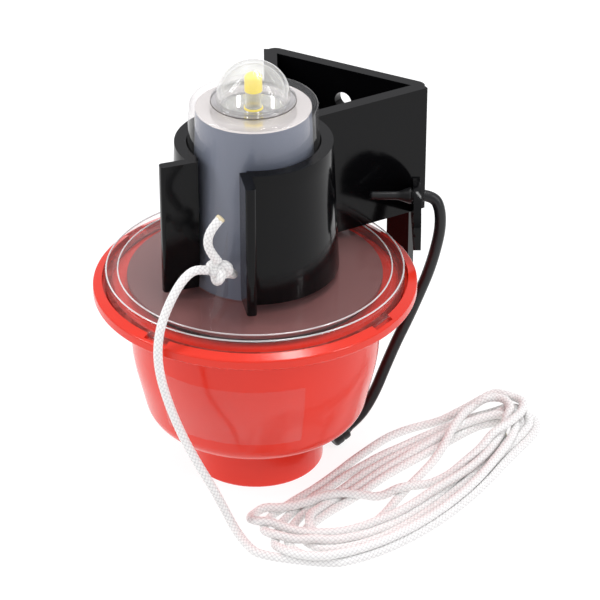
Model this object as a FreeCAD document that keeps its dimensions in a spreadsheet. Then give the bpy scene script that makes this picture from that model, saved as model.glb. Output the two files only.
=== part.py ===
import FreeCAD, Part
import math
import os

import Sketcher
from FreeCAD import Placement, Rotation, Vector

doc = FreeCAD.newDocument("PositionBeacon")
sheet = doc.addObject("Spreadsheet::Sheet", "Sizes")

# ---------------------------------------------------------------- driving sizes (mm and degrees)

DIMENSIONS = {
    # float bowl
    "foot_radius": 23.3, "foot_height": 17.8, "bowl_wall": 2.2, "bowl_top_inset": 11.6,
    "bowl_mid_inset": 1.1, "bowl_low_inset": 6.6, "bowl_mid_height": 42.0, "bowl_mid_round": 60.0,
    "bowl_corner": 8.5, "rim_radius": 55.0, "rim_low": 66.7, "rim_top": 71.6, "rim_edge_height": 70.2,
    "rim_slope": 3.1, "rim_round": 0.8, "seat_depth": 2.4,
    "notch_width": 9.0, "notch_count": 4, "notch_angle": -7.5, "notch_reach": 1.9,
    # clear cover
    "flange_gap": 1.1, "flange_height": 5.0, "flange_plate": 2.2, "skirt_wall": 2.4, "flange_round": 0.6,
    "tower_base_radius": 24.2, "tower_top_radius": 21.3, "tower_height": 61.6, "tower_wall": 2.0,
    "tower_edge_round": 1.6, "lug_gap": 0.7, "lug_height": 2.2,
    "fin_angle": -79.0, "fin_reach": 40.5, "fin_height": 27.0, "fin_thickness": 2.5,
    "fin_hole_radius": 2.6, "fin_hole_place": 28.0, "fin_hole_rise": 11.5,
    # lamp
    "dome_radius": 12.2, "dome_wall": 1.3, "dome_straight": 1.6,
    "collar_width": 1.9, "collar_height": 1.5, "collar_round": 0.5,
    "lamp_radius": 2.9, "lamp_height": 12.6, "dish_depth": 2.6, "reflector_thickness": 0.7,
    # inner housing and what it holds
    "fit_gap": 0.2, "housing_wall": 1.6, "disc_inset": 5.1, "disc_thickness": 1.2,
    "cell_radius": 7.15, "cell_length": 49.5, "cell_gap": 0.6, "cell_nose_radius": 2.7, "cell_nose": 1.0,
    "holder_plate": 2.2, "holder_post": 1.5, "spring_radius": 3.6, "spring_width": 2.0,
    "spring_skin": 0.5, "spring_height": 5.0, "spring_discs": 4, "contact_thickness": 0.4,
    "board_radius": 15.6, "board_thickness": 1.6, "stand_off": 12.8, "stand_off_radius": 2.6,
    "screw_radius": 1.2, "screw_hole_gap": 0.1, "screw_head_radius": 2.2, "screw_head": 1.4,
    "screw_length": 7.0, "screw_place": 13.2,
    "switch_radius": 4.6, "switch_height": 10.6, "switch_wall": 0.8, "switch_place": 6.6,
    "ball_radius": 2.5, "ball_gap": 0.05, "capacitor_radius": 3.1, "capacitor_height": 8.6,
    "capacitor_back": 4.5, "part_place": 5.6, "chip_place": 2.8, "chip_length": 7.0, "chip_width": 5.0,
    "chip_height": 1.6, "resistor_length": 3.2, "resistor_width": 1.6, "resistor_height": 0.6,
    # seal and ballast
    "seal_thickness": 1.0, "seal_width": 2.0, "ballast_height": 8.6, "ballast_gap": 0.6,
    "boss_radius": 3.4, "ballast_screw_radius": 1.95, "ballast_screw_hole": 2.0,
    "ballast_screw_head_radius": 5.4, "ballast_screw_head": 2.0, "ballast_screw_round": 0.6,
    "ballast_screw_depth": 6.8,
    # label film
    "label_thickness": 0.15, "label_gap": 0.04, "label_low": 28.0, "label_high": 50.8,
    "label_span": 71.0, "label_angle": -73.0,
    # bracket
    "bracket_lift": 0.8, "bracket_height": 46.5, "clip_clearance": 0.35, "clip_wall": 4.0,
    "clip_opening": 24.0, "lip_length": 10.6, "lip_thickness": 3.4, "lip_round": 1.2, "lip_flare": 40.0,
    "plate_spread": 30.2, "plate_thickness": 4.6, "plate_apex": 12.0, "plate_start": 10.0,
    "wall_gap": 7.0, "wall_thickness": 4.2, "wall_inset": 0.75, "wall_corner": 3.6,
    "screw_hole_radius": 3.25, "screw_hole_spacing": 22.0,
    "leg_inner": 18.0, "leg_outer": 26.7, "leg_drop": 29.0,
    "ear_angle": -61.0, "ear_reach": 28.6, "ear_arch": 13.9, "ear_height": 19.0, "ear_thickness": 2.6,
    "ear_hole_radius": 2.15, "ear_hole_place": 13.6, "ear_hole_rise": 13.2, "ear_root": 2.6,
    "ear_base_back": 2.8,
    # retaining strap
    "strap_radius": 2.0, "strap_neck_radius": 1.9, "strap_tail_radius": 1.5, "strap_tail": 10.0,
    "barb_radius": 2.9, "barb_length": 4.4, "knob_radius": 3.4, "knob_length": 6.8, "knob_round": 1.5,
    # lanyard
    "cord_radius": 1.5, "knot_radius": 5.0, "hank_height": 6.2,
}


class Size:
    """A length worked out from the sheet: its number now, and the expression that keeps it."""

    def __init__(self, number, text):
        self.number = number
        self.text = text

    def joined(self, sign, other, number):
        """Return the size that two sizes make, with both expressions in one."""
        return Size(number, "(" + self.text + " " + sign + " " + as_size(other).text + ")")

    def __add__(self, other):
        return self.joined("+", other, self.number + as_size(other).number)

    def __sub__(self, other):
        return self.joined("-", other, self.number - as_size(other).number)

    def __mul__(self, other):
        return self.joined("*", other, self.number * as_size(other).number)

    def __truediv__(self, other):
        return self.joined("/", other, self.number / as_size(other).number)

    def __radd__(self, other):
        return as_size(other) + self

    def __rsub__(self, other):
        return as_size(other) - self

    def __rmul__(self, other):
        return as_size(other) * self

    def __neg__(self):
        return as_size(0) - self


def as_size(value):
    """Return a plain number as a size, and a size as it is."""
    return value if isinstance(value, Size) else Size(float(value), repr(float(value)))


def cosine(angle):
    """Return the cosine of an angle in degrees."""
    return Size(math.cos(math.radians(angle.number)), "cos(" + angle.text + " * 1 deg)")


def sine(angle):
    """Return the sine of an angle in degrees."""
    return Size(math.sin(math.radians(angle.number)), "sin(" + angle.text + " * 1 deg)")


for row, (alias, value) in enumerate(DIMENSIONS.items(), start=1):
    sheet.set("A" + str(row), alias)
    sheet.set("B" + str(row), str(value))
    sheet.setAlias("B" + str(row), alias)
doc.recompute()


def cell(alias):
    """Return the size held in the sheet's cell of that name."""
    return Size(float(sheet.get(alias)), "Sizes." + alias)


# ---------------------------------------------------------------- sketch and solid helpers

NODES = []


def keep(item, name):
    """Name a finished sub-part and put it on the list that is written out."""
    item.Label = name
    NODES.append(item)
    return item


def bind(item, **sizes):
    """Bind properties of an object to sizes; a dot in a property's path is written as two underscores."""
    for path, size in sizes.items():
        item.setExpression(path.replace("__", "."), as_size(size).text)
    return item


def place(item, x=0, y=0, z=0):
    """Put an object's own origin at a point given by sizes."""
    for axis, size in (("x", x), ("y", y), ("z", z)):
        item.setExpression("Placement.Base." + axis, as_size(size).text)
    return item


def turn(item, angle, axis=(0, 0, 1)):
    """Turn an object about an axis through its own origin."""
    item.Placement = Placement(item.Placement.Base, Rotation(Vector(*axis), 0))
    item.Placement.Rotation = Rotation(Vector(*axis), as_size(angle).number)
    item.setExpression("Placement.Rotation.Angle", as_size(angle).text + " * 1 deg")
    return item


def draw_loop(sketch, corners):
    """Draw one closed outline. A corner is (x, y), or (x, y, radius) where it is rounded."""
    spots = [Vector(as_size(c[0]).number, as_size(c[1]).number, 0) for c in corners]
    total = len(corners)
    entry, leave = list(spots), list(spots)
    arcs = {}
    for index, corner in enumerate(corners):
        if len(corner) == 3:
            back = (spots[index - 1] - spots[index]).normalize()
            ahead = (spots[(index + 1) % total] - spots[index]).normalize()
            half = back.getAngle(ahead) / 2
            radius = as_size(corner[2]).number
            entry[index] = spots[index] + back * (radius / math.tan(half))
            leave[index] = spots[index] + ahead * (radius / math.tan(half))
            centre = spots[index] + (back + ahead).normalize() * (radius / math.sin(half))
            arcs[index] = (centre, radius, back.cross(ahead).z < 0)
    first = sketch.GeometryCount
    lines = [Part.LineSegment(leave[i], entry[(i + 1) % total]) for i in range(total)]
    sketch.addGeometry(lines, False)
    for index, corner in enumerate(corners):
        into, out = first + (index - 1) % total, first + index
        if index in arcs:
            centre, radius, left_turn = arcs[index]
            ends = (entry[index], leave[index]) if left_turn else (leave[index], entry[index])
            angles = [math.atan2(p.y - centre.y, p.x - centre.x) for p in ends]
            circle = Part.Circle(centre, Vector(0, 0, 1), radius)
            arc = sketch.addGeometry(Part.ArcOfCircle(circle, angles[0], angles[1]), False)
            point = sketch.addGeometry(Part.Point(spots[index]), True)
            start, end = (1, 2) if left_turn else (2, 1)
            sketch.addConstraint(Sketcher.Constraint("Tangent", into, 2, arc, start))
            sketch.addConstraint(Sketcher.Constraint("Tangent", out, 1, arc, end))
            sketch.addConstraint(Sketcher.Constraint("PointOnObject", point, 1, into))
            sketch.addConstraint(Sketcher.Constraint("PointOnObject", point, 1, out))
            bound = sketch.addConstraint(Sketcher.Constraint("Radius", arc, radius))
            sketch.setExpression("Constraints[" + str(bound) + "]", as_size(corner[2]).text)
            holder = (point, 1)
        else:
            sketch.addConstraint(Sketcher.Constraint("Coincident", into, 2, out, 1))
            holder = (out, 1)
        for kind, size in (("DistanceX", corner[0]), ("DistanceY", corner[1])):
            size = as_size(size)
            bound = sketch.addConstraint(Sketcher.Constraint(kind, holder[0], holder[1], size.number))
            sketch.setExpression("Constraints[" + str(bound) + "]", size.text)


def draw_circle(sketch, x, y, radius):
    """Draw one circle with its centre and radius bound to sizes."""
    x, y, radius = as_size(x), as_size(y), as_size(radius)
    circle = Part.Circle(Vector(x.number, y.number, 0), Vector(0, 0, 1), radius.number)
    geo = sketch.addGeometry(circle, False)
    for kind, size in (("DistanceX", x), ("DistanceY", y)):
        bound = sketch.addConstraint(Sketcher.Constraint(kind, geo, 3, size.number))
        sketch.setExpression("Constraints[" + str(bound) + "]", size.text)
    bound = sketch.addConstraint(Sketcher.Constraint("Radius", geo, radius.number))
    sketch.setExpression("Constraints[" + str(bound) + "]", radius.text)


def new_body(name):
    """Make an empty body."""
    return doc.addObject("PartDesign::Body", name)


def new_sketch(body, name, role, *loops):
    """Draw loops on one of the body's own origin planes."""
    sketch = body.newObject("Sketcher::SketchObject", name)
    plane = [item for item in body.Origin.OriginFeatures if item.Role == role][0]
    sketch.AttachmentSupport = (plane, [""])
    sketch.MapMode = "FlatFace"
    for loop in loops:
        draw_loop(sketch, loop)
    return sketch


def revolve(body, name, section, cutting=False, angle=360):
    """Turn a section drawn with radius across and height up, about the vertical axis."""
    sketch = new_sketch(body, name + "_section", "XZ_Plane", section)
    kind = "PartDesign::Groove" if cutting else "PartDesign::Revolution"
    feature = body.newObject(kind, name)
    feature.Profile = sketch
    feature.ReferenceAxis = (sketch, ["V_Axis"])
    feature.Angle = angle
    return feature


def extrude(body, name, sketch, length, cutting=False, midplane=False, reverse=False):
    """Pad or pocket a sketch by a length."""
    feature = body.newObject("PartDesign::Pocket" if cutting else "PartDesign::Pad", name)
    feature.Profile = sketch
    if midplane:
        feature.SideType = "Symmetric"
    feature.Reversed = reverse
    bind(feature, Length=length)
    return feature


def revolved_part(name, section):
    """Make a sub-part that is one turned section."""
    body = new_body(name + "_body")
    revolve(body, name + "_turn", section)
    return keep(body, name)


def primitive(kind, name, **sizes):
    """Make a Part primitive with its sizes bound to the sheet."""
    return bind(doc.addObject("Part::" + kind, name), **sizes)


def cylinder(name, radius, height, x=0, y=0, z=0):
    """Make an upright cylinder standing at a point."""
    return place(primitive("Cylinder", name, Radius=radius, Height=height), x, y, z)


def fused(name, items):
    """Join several solids into one."""
    joint = doc.addObject("Part::MultiFuse", name)
    joint.Shapes = items
    return joint


def cut(name, base, tool):
    """Take one solid out of another."""
    piece = doc.addObject("Part::Cut", name)
    piece.Base = base
    piece.Tool = tool
    return piece


def grouped(name, items):
    """Put separate solids in one node."""
    group = doc.addObject("Part::Compound", name)
    group.Links = items
    return group


# ---------------------------------------------------------------- levels and radii shared by the pieces

foot_radius, foot_height, wall = cell("foot_radius"), cell("foot_height"), cell("bowl_wall")
rim_low, rim_top, rim_radius = cell("rim_low"), cell("rim_top"), cell("rim_radius")
bowl_top_radius = rim_radius - cell("bowl_top_inset")
bowl_mid_radius = bowl_top_radius - cell("bowl_mid_inset")
bowl_low_radius = bowl_top_radius - cell("bowl_low_inset")
rim_slope_radius = rim_radius - cell("rim_slope")
seat_z = rim_top - cell("seat_depth")
cover_base = seat_z + cell("seal_thickness")
cover_top = cover_base + cell("flange_height")
flange_radius = rim_slope_radius - cell("flange_gap")
skirt_inner = flange_radius - cell("skirt_wall")
tower_base, tower_tip = cell("tower_base_radius"), cell("tower_top_radius")
tower_wall, tower_height = cell("tower_wall"), cell("tower_height")
tower_top = cover_top + tower_height
port_radius = cell("dome_radius") - cell("dome_wall")
disc_radius = skirt_inner - cell("disc_inset")
disc_top = cover_top - cell("flange_plate")
disc_low = disc_top - cell("disc_thickness")
reflector_top = tower_top - tower_wall
reflector_low = reflector_top - cell("reflector_thickness")
dish_floor = reflector_low - cell("dish_depth")
board_low = dish_floor - cell("board_thickness")
carrier_top = board_low - cell("stand_off")
contact_z = carrier_top - cell("holder_plate") - cell("contact_thickness")
cell_z = contact_z - cell("cell_nose") - cell("cell_length")
spring_z = cell_z - cell("spring_height")
carrier_low = spring_z - cell("contact_thickness") - cell("holder_plate")
tube_low = carrier_low - cell("housing_wall")
bracket_low = cover_top + cell("bracket_lift")
bracket_height = cell("bracket_height")
plate_spread, plate_apex = cell("plate_spread"), cell("plate_apex")
wall_face = rim_radius + cell("wall_gap")


def tower_radius(rise):
    """Return the tower's outer radius at a height above the flange."""
    return tower_base - (tower_base - tower_tip) * rise / tower_height


def plate_edge(back):
    """Return how far sideways a bracket side plate's outer face stands at a distance back."""
    lean = sine(plate_spread) / cosine(plate_spread)
    return (back - plate_apex) * lean + cell("plate_thickness") / 2 / cosine(plate_spread)


def bowl_radius(level):
    """Return the bowl's outer radius on the straight part of its wall that holds that level."""
    low, mid, top = bowl_low_radius, bowl_mid_radius, bowl_top_radius
    bend = cell("bowl_mid_height")
    if level.number < bend.number:
        return low + (mid - low) * (level - foot_height) / (bend - foot_height)
    return mid + (top - mid) * (level - bend) / (rim_low - bend)


# ---------------------------------------------------------------- float bowl, seal, ballast and label

def ring_of_blocks(name, radius, width, reach, low, height):
    """Make the blocks of one ring of notches or lugs, each pointing outwards."""
    blocks = []
    for index in range(int(cell("notch_count").number)):
        angle = cell("notch_angle") + as_size(360.0 * index) / cell("notch_count")
        block = primitive("Box", name + str(index), Length=reach, Width=width, Height=height)
        turn(block, angle)
        place(block, radius * cosine(angle) + width / 2 * sine(angle),
              radius * sine(angle) - width / 2 * cosine(angle), low)
        blocks.append(block)
    return fused(name, blocks)


def make_bowl():
    """Red float: foot, flared wall and rim, with a boss for the ballast's screw."""
    low, mid, top, slope = bowl_low_radius, bowl_mid_radius, bowl_top_radius, rim_slope_radius
    edge, bend, bend_round = cell("rim_round"), cell("bowl_mid_height"), cell("bowl_mid_round")
    hole, corner = cell("ballast_screw_hole"), cell("bowl_corner")
    boss_top = wall + cell("ballast_height")
    section = [
        (0, 0), (foot_radius, 0, edge), (foot_radius, foot_height), (low, foot_height, corner),
        (mid, bend, bend_round), (top, rim_low), (rim_radius, rim_low, edge),
        (rim_radius, cell("rim_edge_height"), edge), (slope, rim_top), (slope, seat_z),
        (top - wall, seat_z), (mid - wall, bend, bend_round),
        (low - wall, foot_height + wall, corner - wall), (foot_radius - wall, foot_height + wall),
        (foot_radius - wall, wall), (cell("boss_radius"), wall), (cell("boss_radius"), boss_top),
        (hole, boss_top), (hole, boss_top - cell("ballast_screw_depth")),
        (0, boss_top - cell("ballast_screw_depth")),
    ]
    shell = new_body("bowl_shell")
    revolve(shell, "bowl_turn", section)
    reach = cell("notch_reach") + cell("flange_gap")
    notches = ring_of_blocks("notch", flange_radius, cell("notch_width"), reach, seat_z,
                             cell("seat_depth") * 2)
    return keep(cut("bowl_cut", shell, notches), "float_bowl")


def make_seal():
    """Flat gasket under the cover's skirt."""
    inner = flange_radius - cell("seal_width")
    top = seat_z + cell("seal_thickness")
    return revolved_part("seal_ring", [
        (inner, seat_z), (flange_radius, seat_z), (flange_radius, top), (inner, top),
    ])


def make_ballast():
    """Weight round the boss in the foot, and the screw that holds it."""
    outer = foot_radius - wall - cell("ballast_gap")
    inner = cell("boss_radius") + cell("fit_gap")
    top = wall + cell("ballast_height")
    revolved_part("ballast_weight", [(inner, wall), (outer, wall), (outer, top), (inner, top)])
    shank, head = cell("ballast_screw_radius"), cell("ballast_screw_head_radius")
    head_top = top + cell("ballast_screw_head")
    tip = top - cell("ballast_screw_depth") + cell("fit_gap")
    revolved_part("ballast_screw", [
        (0, tip), (shank, tip), (shank, top), (head, top),
        (head, head_top, cell("ballast_screw_round")), (0, head_top),
    ])


def make_label():
    """Clear film that lies on the front of the bowl's wall."""
    gap, thick = cell("label_gap"), cell("label_thickness")
    low, high = cell("label_low"), cell("label_high")
    mid, bend, bend_round = bowl_mid_radius, cell("bowl_mid_height"), cell("bowl_mid_round")
    section = [
        (bowl_radius(low) + gap, low), (bowl_radius(low) + gap + thick, low),
        (mid + gap + thick, bend, bend_round), (bowl_radius(high) + gap + thick, high),
        (bowl_radius(high) + gap, high), (mid + gap, bend, bend_round),
    ]
    body = new_body("label_body")
    film = revolve(body, "label_turn", section)
    film.Midplane = True
    bind(film, Angle=cell("label_span"))
    turn(body, cell("label_angle"))
    return keep(body, "label_film")


# ---------------------------------------------------------------- clear cover and lamp

def make_cover():
    """Clear cover: flange with skirt and lugs, tapered tower with a port on top, and the lanyard's fin."""
    shell_part = new_body("cover_shell")
    revolve(shell_part, "cover_turn", [
        (skirt_inner, cover_base), (flange_radius, cover_base),
        (flange_radius, cover_top, cell("flange_round")), (tower_base, cover_top),
        (tower_tip, tower_top, cell("tower_edge_round")), (port_radius, tower_top),
        (port_radius, reflector_top), (tower_tip - tower_wall, reflector_top),
        (tower_base - tower_wall, disc_top), (skirt_inner, disc_top),
    ])
    root, fin_height = tower_wall / 2, cell("fin_height")
    fin_sketch = new_sketch(shell_part, "fin_sketch", "XZ_Plane", [
        (tower_base - root, cover_top - root), (cell("fin_reach"), cover_top - root),
        (cell("fin_reach"), cover_top + root), (tower_radius(fin_height) - root, cover_top + fin_height),
    ])
    extrude(shell_part, "fin", fin_sketch, cell("fin_thickness"), midplane=True)
    hole_sketch = new_sketch(shell_part, "fin_hole_sketch", "XZ_Plane")
    hole_rise = cover_top + cell("fin_hole_rise")
    draw_circle(hole_sketch, cell("fin_hole_place"), hole_rise, cell("fin_hole_radius"))
    through = cell("fin_thickness") * 2
    extrude(shell_part, "fin_hole", hole_sketch, through, cutting=True, midplane=True)
    turn(shell_part, cell("fin_angle"))
    bite = cell("skirt_wall") / 2
    lug_width = cell("notch_width") - cell("lug_gap") * 2
    lug_reach = bite + cell("flange_gap") + cell("notch_reach") - cell("lug_gap")
    lugs = ring_of_blocks("lug", flange_radius - bite, lug_width, lug_reach, cover_base,
                          cell("lug_height"))
    return keep(fused("cover_fuse", [shell_part, lugs]), "clear_cover")


def make_dome():
    """Clear dome over the lamp, and the ring round its foot."""
    outer, inner, straight = cell("dome_radius"), port_radius, cell("dome_straight")
    skins = []
    for name, radius in (("dome_out", outer), ("dome_in", inner)):
        cap = place(primitive("Sphere", name + "_cap", Radius=radius), 0, 0, tower_top + straight)
        cap.Angle1 = 0
        skins.append(fused(name, [cap, cylinder(name + "_tube", radius, straight, 0, 0, tower_top)]))
    keep(cut("dome_cut", skins[0], skins[1]), "dome_lens")
    ring_inner = outer + cell("label_gap")
    ring_outer, ring_top = outer + cell("collar_width"), tower_top + cell("collar_height")
    revolved_part("dome_collar", [
        (ring_inner, tower_top), (ring_outer, tower_top),
        (ring_outer, ring_top, cell("collar_round")), (ring_inner, ring_top),
    ])


def make_lamp():
    """Reflector ring under the tower's top, the dish in the port, and the lamp that stands in it."""
    outer = tower_tip - tower_wall - cell("fit_gap")
    revolved_part("reflector", [
        (port_radius, reflector_low), (outer, reflector_low),
        (outer, reflector_top), (port_radius, reflector_top),
    ])
    rim = port_radius - cell("fit_gap")
    skin, post = cell("disc_thickness"), cell("lamp_radius") + cell("fit_gap")
    revolved_part("led_holder", [
        (0, dish_floor), (rim, dish_floor), (rim, reflector_top), (rim - skin, reflector_top),
        (rim - skin, dish_floor + skin), (post, dish_floor + skin), (post, reflector_low),
        (0, reflector_low),
    ])
    radius = cell("lamp_radius")
    stem_height = cell("lamp_height") - radius
    stem = cylinder("lamp_stem", radius, stem_height, 0, 0, reflector_low)
    tip = primitive("Sphere", "lamp_tip", Radius=radius)
    place(tip, 0, 0, reflector_low + stem_height)
    keep(fused("lamp_fuse", [stem, tip]), "led_lamp")


# ---------------------------------------------------------------- inner housing and what it holds

def make_housing():
    """Grey tube that fills the tower, with a disc under the flange and a closed bottom."""
    gap, skin = cell("fit_gap"), cell("housing_wall")
    outer_low, outer_top = tower_base - tower_wall - gap, tower_tip - tower_wall - gap
    return revolved_part("inner_housing", [
        (0, tube_low), (outer_low, tube_low), (outer_low, disc_low), (disc_radius, disc_low),
        (disc_radius, disc_top), (outer_low, disc_top), (outer_top, reflector_low),
        (outer_top - skin, reflector_low), (outer_low - skin, disc_top),
        (outer_low - skin, tube_low + skin), (0, tube_low + skin),
    ])


def around(count, radius, start=90.0):
    """Return places spaced evenly round the axis."""
    places = []
    for index in range(count):
        angle = as_size(start + 360.0 * index / count)
        places.append((radius * cosine(angle), radius * sine(angle)))
    return places


def make_spring(name, x, y, z):
    """Make one stack of disc springs standing at a point."""
    outer, skin = cell("spring_radius"), cell("spring_skin")
    folds = int(cell("spring_discs").number)
    inner = outer - cell("spring_width")
    rise = (cell("spring_height") - skin) / cell("spring_discs")
    under = [(outer if index % 2 == 0 else inner, rise * index) for index in range(folds + 1)]
    over = [(radius, level + skin) for radius, level in reversed(under)]
    body = new_body(name)
    revolve(body, name + "_turn", under + over)
    return place(body, x, y, z)


def make_cells(places):
    """Three cells standing on their springs, each with its raised nose."""
    cells = []
    nose_z = cell_z + cell("cell_length")
    for index, (x, y) in enumerate(places):
        can = cylinder("can" + str(index), cell("cell_radius"), cell("cell_length"), x, y, cell_z)
        nose = cylinder("nose" + str(index), cell("cell_nose_radius"), cell("cell_nose"), x, y, nose_z)
        cells.append(fused("battery" + str(index), [can, nose]))
    keep(grouped("cells", cells), "battery_cells")


def make_carrier(between):
    """Two plates joined by rods, with threaded pillars that hold the board."""
    plate = cell("holder_plate")
    plate_radius = cell("board_radius") + cell("contact_thickness")
    top_plate = carrier_top - plate
    hole_radius = cell("screw_radius") + cell("screw_hole_gap")
    hole_z = board_low - cell("screw_length")
    pieces = [
        cylinder("plate_under", plate_radius, plate, 0, 0, carrier_low),
        cylinder("plate_over", plate_radius, plate, 0, 0, top_plate),
    ]
    threads = []
    for index, (x, y) in enumerate(between):
        tag = str(index)
        rod_height = top_plate - carrier_low
        pieces.append(cylinder("rod" + tag, cell("holder_post"), rod_height, x, y, carrier_low))
        pillar = cylinder("pillar" + tag, cell("stand_off_radius"), cell("stand_off"), x, y, carrier_top)
        pieces.append(pillar)
        threads.append(cylinder("thread" + tag, hole_radius, cell("screw_length"), x, y, hole_z))
    keep(cut("carrier_cut", fused("carrier", pieces), fused("threads", threads)), "battery_holder")


def make_contacts(places):
    """Contact plates above and below the cells, and the disc springs that press on them."""
    contact = cell("contact_thickness")
    low_z = carrier_low + cell("holder_plate")
    low_radius = cell("spring_radius") + cell("spring_skin")
    tops, lows, springs = [], [], []
    for index, (x, y) in enumerate(places):
        tag = str(index)
        tops.append(cylinder("pad_top" + tag, cell("spring_radius"), contact, x, y, contact_z))
        lows.append(cylinder("pad_low" + tag, low_radius, contact, x, y, low_z))
        springs.append(make_spring("spring" + tag, x, y, spring_z))
    keep(grouped("plates_top", tops), "contact_plates_top")
    keep(grouped("plates_low", lows), "contact_plates_low")
    keep(grouped("springs", springs), "contact_springs")


def make_power():
    """Three cells in a carrier, with contact plates above them and springs below."""
    places = around(3, (cell("cell_radius") + cell("cell_gap") / 2) * 2 / math.sqrt(3))
    make_cells(places)
    make_carrier(around(3, cell("screw_place"), 30.0))
    make_contacts(places)


def make_board(corners):
    """Driver board with its screw holes, and the screws in them."""
    thick = cell("board_thickness")
    hole_radius = cell("screw_radius") + cell("screw_hole_gap")
    shank_low = board_low - cell("screw_length") + cell("fit_gap")
    holes, screws = [], []
    for index, (x, y) in enumerate(corners):
        tag = str(index)
        holes.append(cylinder("board_hole" + tag, hole_radius, thick, x, y, board_low))
        shank_height = dish_floor - shank_low
        shank = cylinder("screw_shank" + tag, cell("screw_radius"), shank_height, x, y, shank_low)
        head = cylinder("screw_top" + tag, cell("screw_head_radius"), cell("screw_head"), x, y, dish_floor)
        screws.append(fused("board_screw" + tag, [shank, head]))
    disc = cylinder("board_disc", cell("board_radius"), thick, 0, 0, board_low)
    keep(cut("board_cut", disc, fused("board_holes", holes)), "circuit_board")
    keep(grouped("screw_set", screws), "board_screws")


def make_soldered_parts():
    """Capacitor, chip and two resistors on the board's under side."""
    spot, tall = cell("part_place"), cell("capacitor_height")
    capacitor = cylinder("capacitor", cell("capacitor_radius"), tall, -spot, -cell("capacitor_back"),
                         board_low - tall)
    chip = primitive("Box", "chip", Length=cell("chip_length"), Width=cell("chip_width"),
                     Height=cell("chip_height"))
    place(chip, cell("chip_place"), -spot, board_low - cell("chip_height"))
    parts = [capacitor, chip]
    for index in range(2):
        resistor = primitive("Box", "resistor" + str(index), Length=cell("resistor_length"),
                             Width=cell("resistor_width"), Height=cell("resistor_height"))
        place(resistor, spot, cell("resistor_width") * (2 * index), board_low - cell("resistor_height"))
        parts.append(resistor)
    keep(grouped("soldered", parts), "board_parts")


def make_switch():
    """Tilt switch: a closed can under the board with a loose ball in it."""
    low, skin, back = board_low - cell("switch_height"), cell("switch_wall"), cell("switch_place")
    case = cylinder("switch_out", cell("switch_radius"), cell("switch_height"), 0, back, low)
    hollow_radius, hollow_height = cell("switch_radius") - skin, cell("switch_height") - skin * 2
    hollow = cylinder("switch_in", hollow_radius, hollow_height, 0, back, low + skin)
    keep(cut("switch_cut", case, hollow), "tilt_switch_case")
    ball = primitive("Sphere", "ball", Radius=cell("ball_radius"))
    place(ball, 0, back, low + skin + cell("ball_radius") + cell("ball_gap"))
    keep(ball, "tilt_ball")


def make_electronics():
    """Driver board, what is soldered under it, its screws and the ball switch."""
    make_board(around(3, cell("screw_place"), 30.0))
    make_soldered_parts()
    make_switch()


# ---------------------------------------------------------------- bracket

def offset_sketch(body, name, x, back, angle, loops=()):
    """Draw on an upright plane of the body that is moved to (x, back) and turned about the vertical."""
    sketch = new_sketch(body, name, "XZ_Plane", *loops)
    x, back, angle = as_size(x), as_size(back), as_size(angle)
    facing = Rotation(Vector(0, 1, 0), angle.number)
    sketch.AttachmentOffset = Placement(Vector(x.number, 0, -back.number), facing)
    sketch.setExpression("AttachmentOffset.Base.x", x.text)
    sketch.setExpression("AttachmentOffset.Base.z", (-back).text)
    if angle.number:
        sketch.setExpression("AttachmentOffset.Rotation.Angle", angle.text + " * 1 deg")
    return sketch


def strip(side, start, heading, length, back, thickness, round_end):
    """Outline of a straight wall seen from above, from a little behind its start to its end."""
    run_x, run_y = side * sine(heading), cosine(heading)
    half = thickness / 2
    near_x, near_y = start[0] - back * run_x, start[1] - back * run_y
    far_x, far_y = start[0] + length * run_x, start[1] + length * run_y
    off_x, off_y = run_y * half, run_x * half
    corners = [
        (near_x - off_x, near_y + off_y), (near_x + off_x, near_y - off_y),
        (far_x + off_x, far_y - off_y), (far_x - off_x, far_y + off_y),
    ]
    if round_end:
        corners[2] += (round_end,)
        corners[3] += (round_end,)
    return corners


def add_clip_ring(body, ring_low, ring_top):
    """Add the tapered ring that clips round the tower, open at the front."""
    clip = cell("clip_wall")
    ring_sketch = new_sketch(body, "ring_section", "YZ_Plane", [
        (ring_low, 0), (ring_low + clip, 0), (ring_top + clip, bracket_height), (ring_top, bracket_height),
    ])
    ring = body.newObject("PartDesign::Revolution", "ring")
    ring.Profile = ring_sketch
    ring.ReferenceAxis = (ring_sketch, ["V_Axis"])
    ring.Midplane = True
    bind(ring, Angle=360 - cell("clip_opening") * 2)


def add_walls(body, middle):
    """Add the two lips, the two side plates, the wall plate and its legs."""
    opening, clip, skin = cell("clip_opening"), cell("clip_wall"), cell("wall_thickness")
    plate_length = (wall_face + skin / 2 - plate_apex) / cosine(plate_spread)
    legs = []
    for side, name in ((1, "right"), (-1, "left")):
        root = (side * middle * sine(opening), -middle * cosine(opening))
        lip = strip(side, root, 180 - cell("lip_flare"), cell("lip_length"), clip / 2,
                    cell("lip_thickness"), cell("lip_round"))
        plate = strip(side, (as_size(0), plate_apex), plate_spread, plate_length,
                      -cell("plate_start"), cell("plate_thickness"), None)
        extrude(body, "lip_" + name, new_sketch(body, "lip_sketch_" + name, "XY_Plane", lip),
                bracket_height)
        extrude(body, "plate_" + name, new_sketch(body, "plate_sketch_" + name, "XY_Plane", plate),
                bracket_height)
        legs.append([
            (side * cell("leg_inner"), wall_face), (side * cell("leg_outer"), wall_face),
            (side * cell("leg_outer"), wall_face + skin), (side * cell("leg_inner"), wall_face + skin),
        ])
    half, corner = plate_edge(wall_face) - cell("wall_inset"), cell("wall_corner")
    wall_sketch = new_sketch(body, "wall_sketch", "XY_Plane", [
        (-half, wall_face), (half, wall_face),
        (half, wall_face + skin, corner), (-half, wall_face + skin, corner),
    ])
    extrude(body, "back_wall", wall_sketch, bracket_height)
    leg_sketch = new_sketch(body, "leg_sketch", "XY_Plane", *legs)
    extrude(body, "legs", leg_sketch, cell("leg_drop"), reverse=True)


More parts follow.
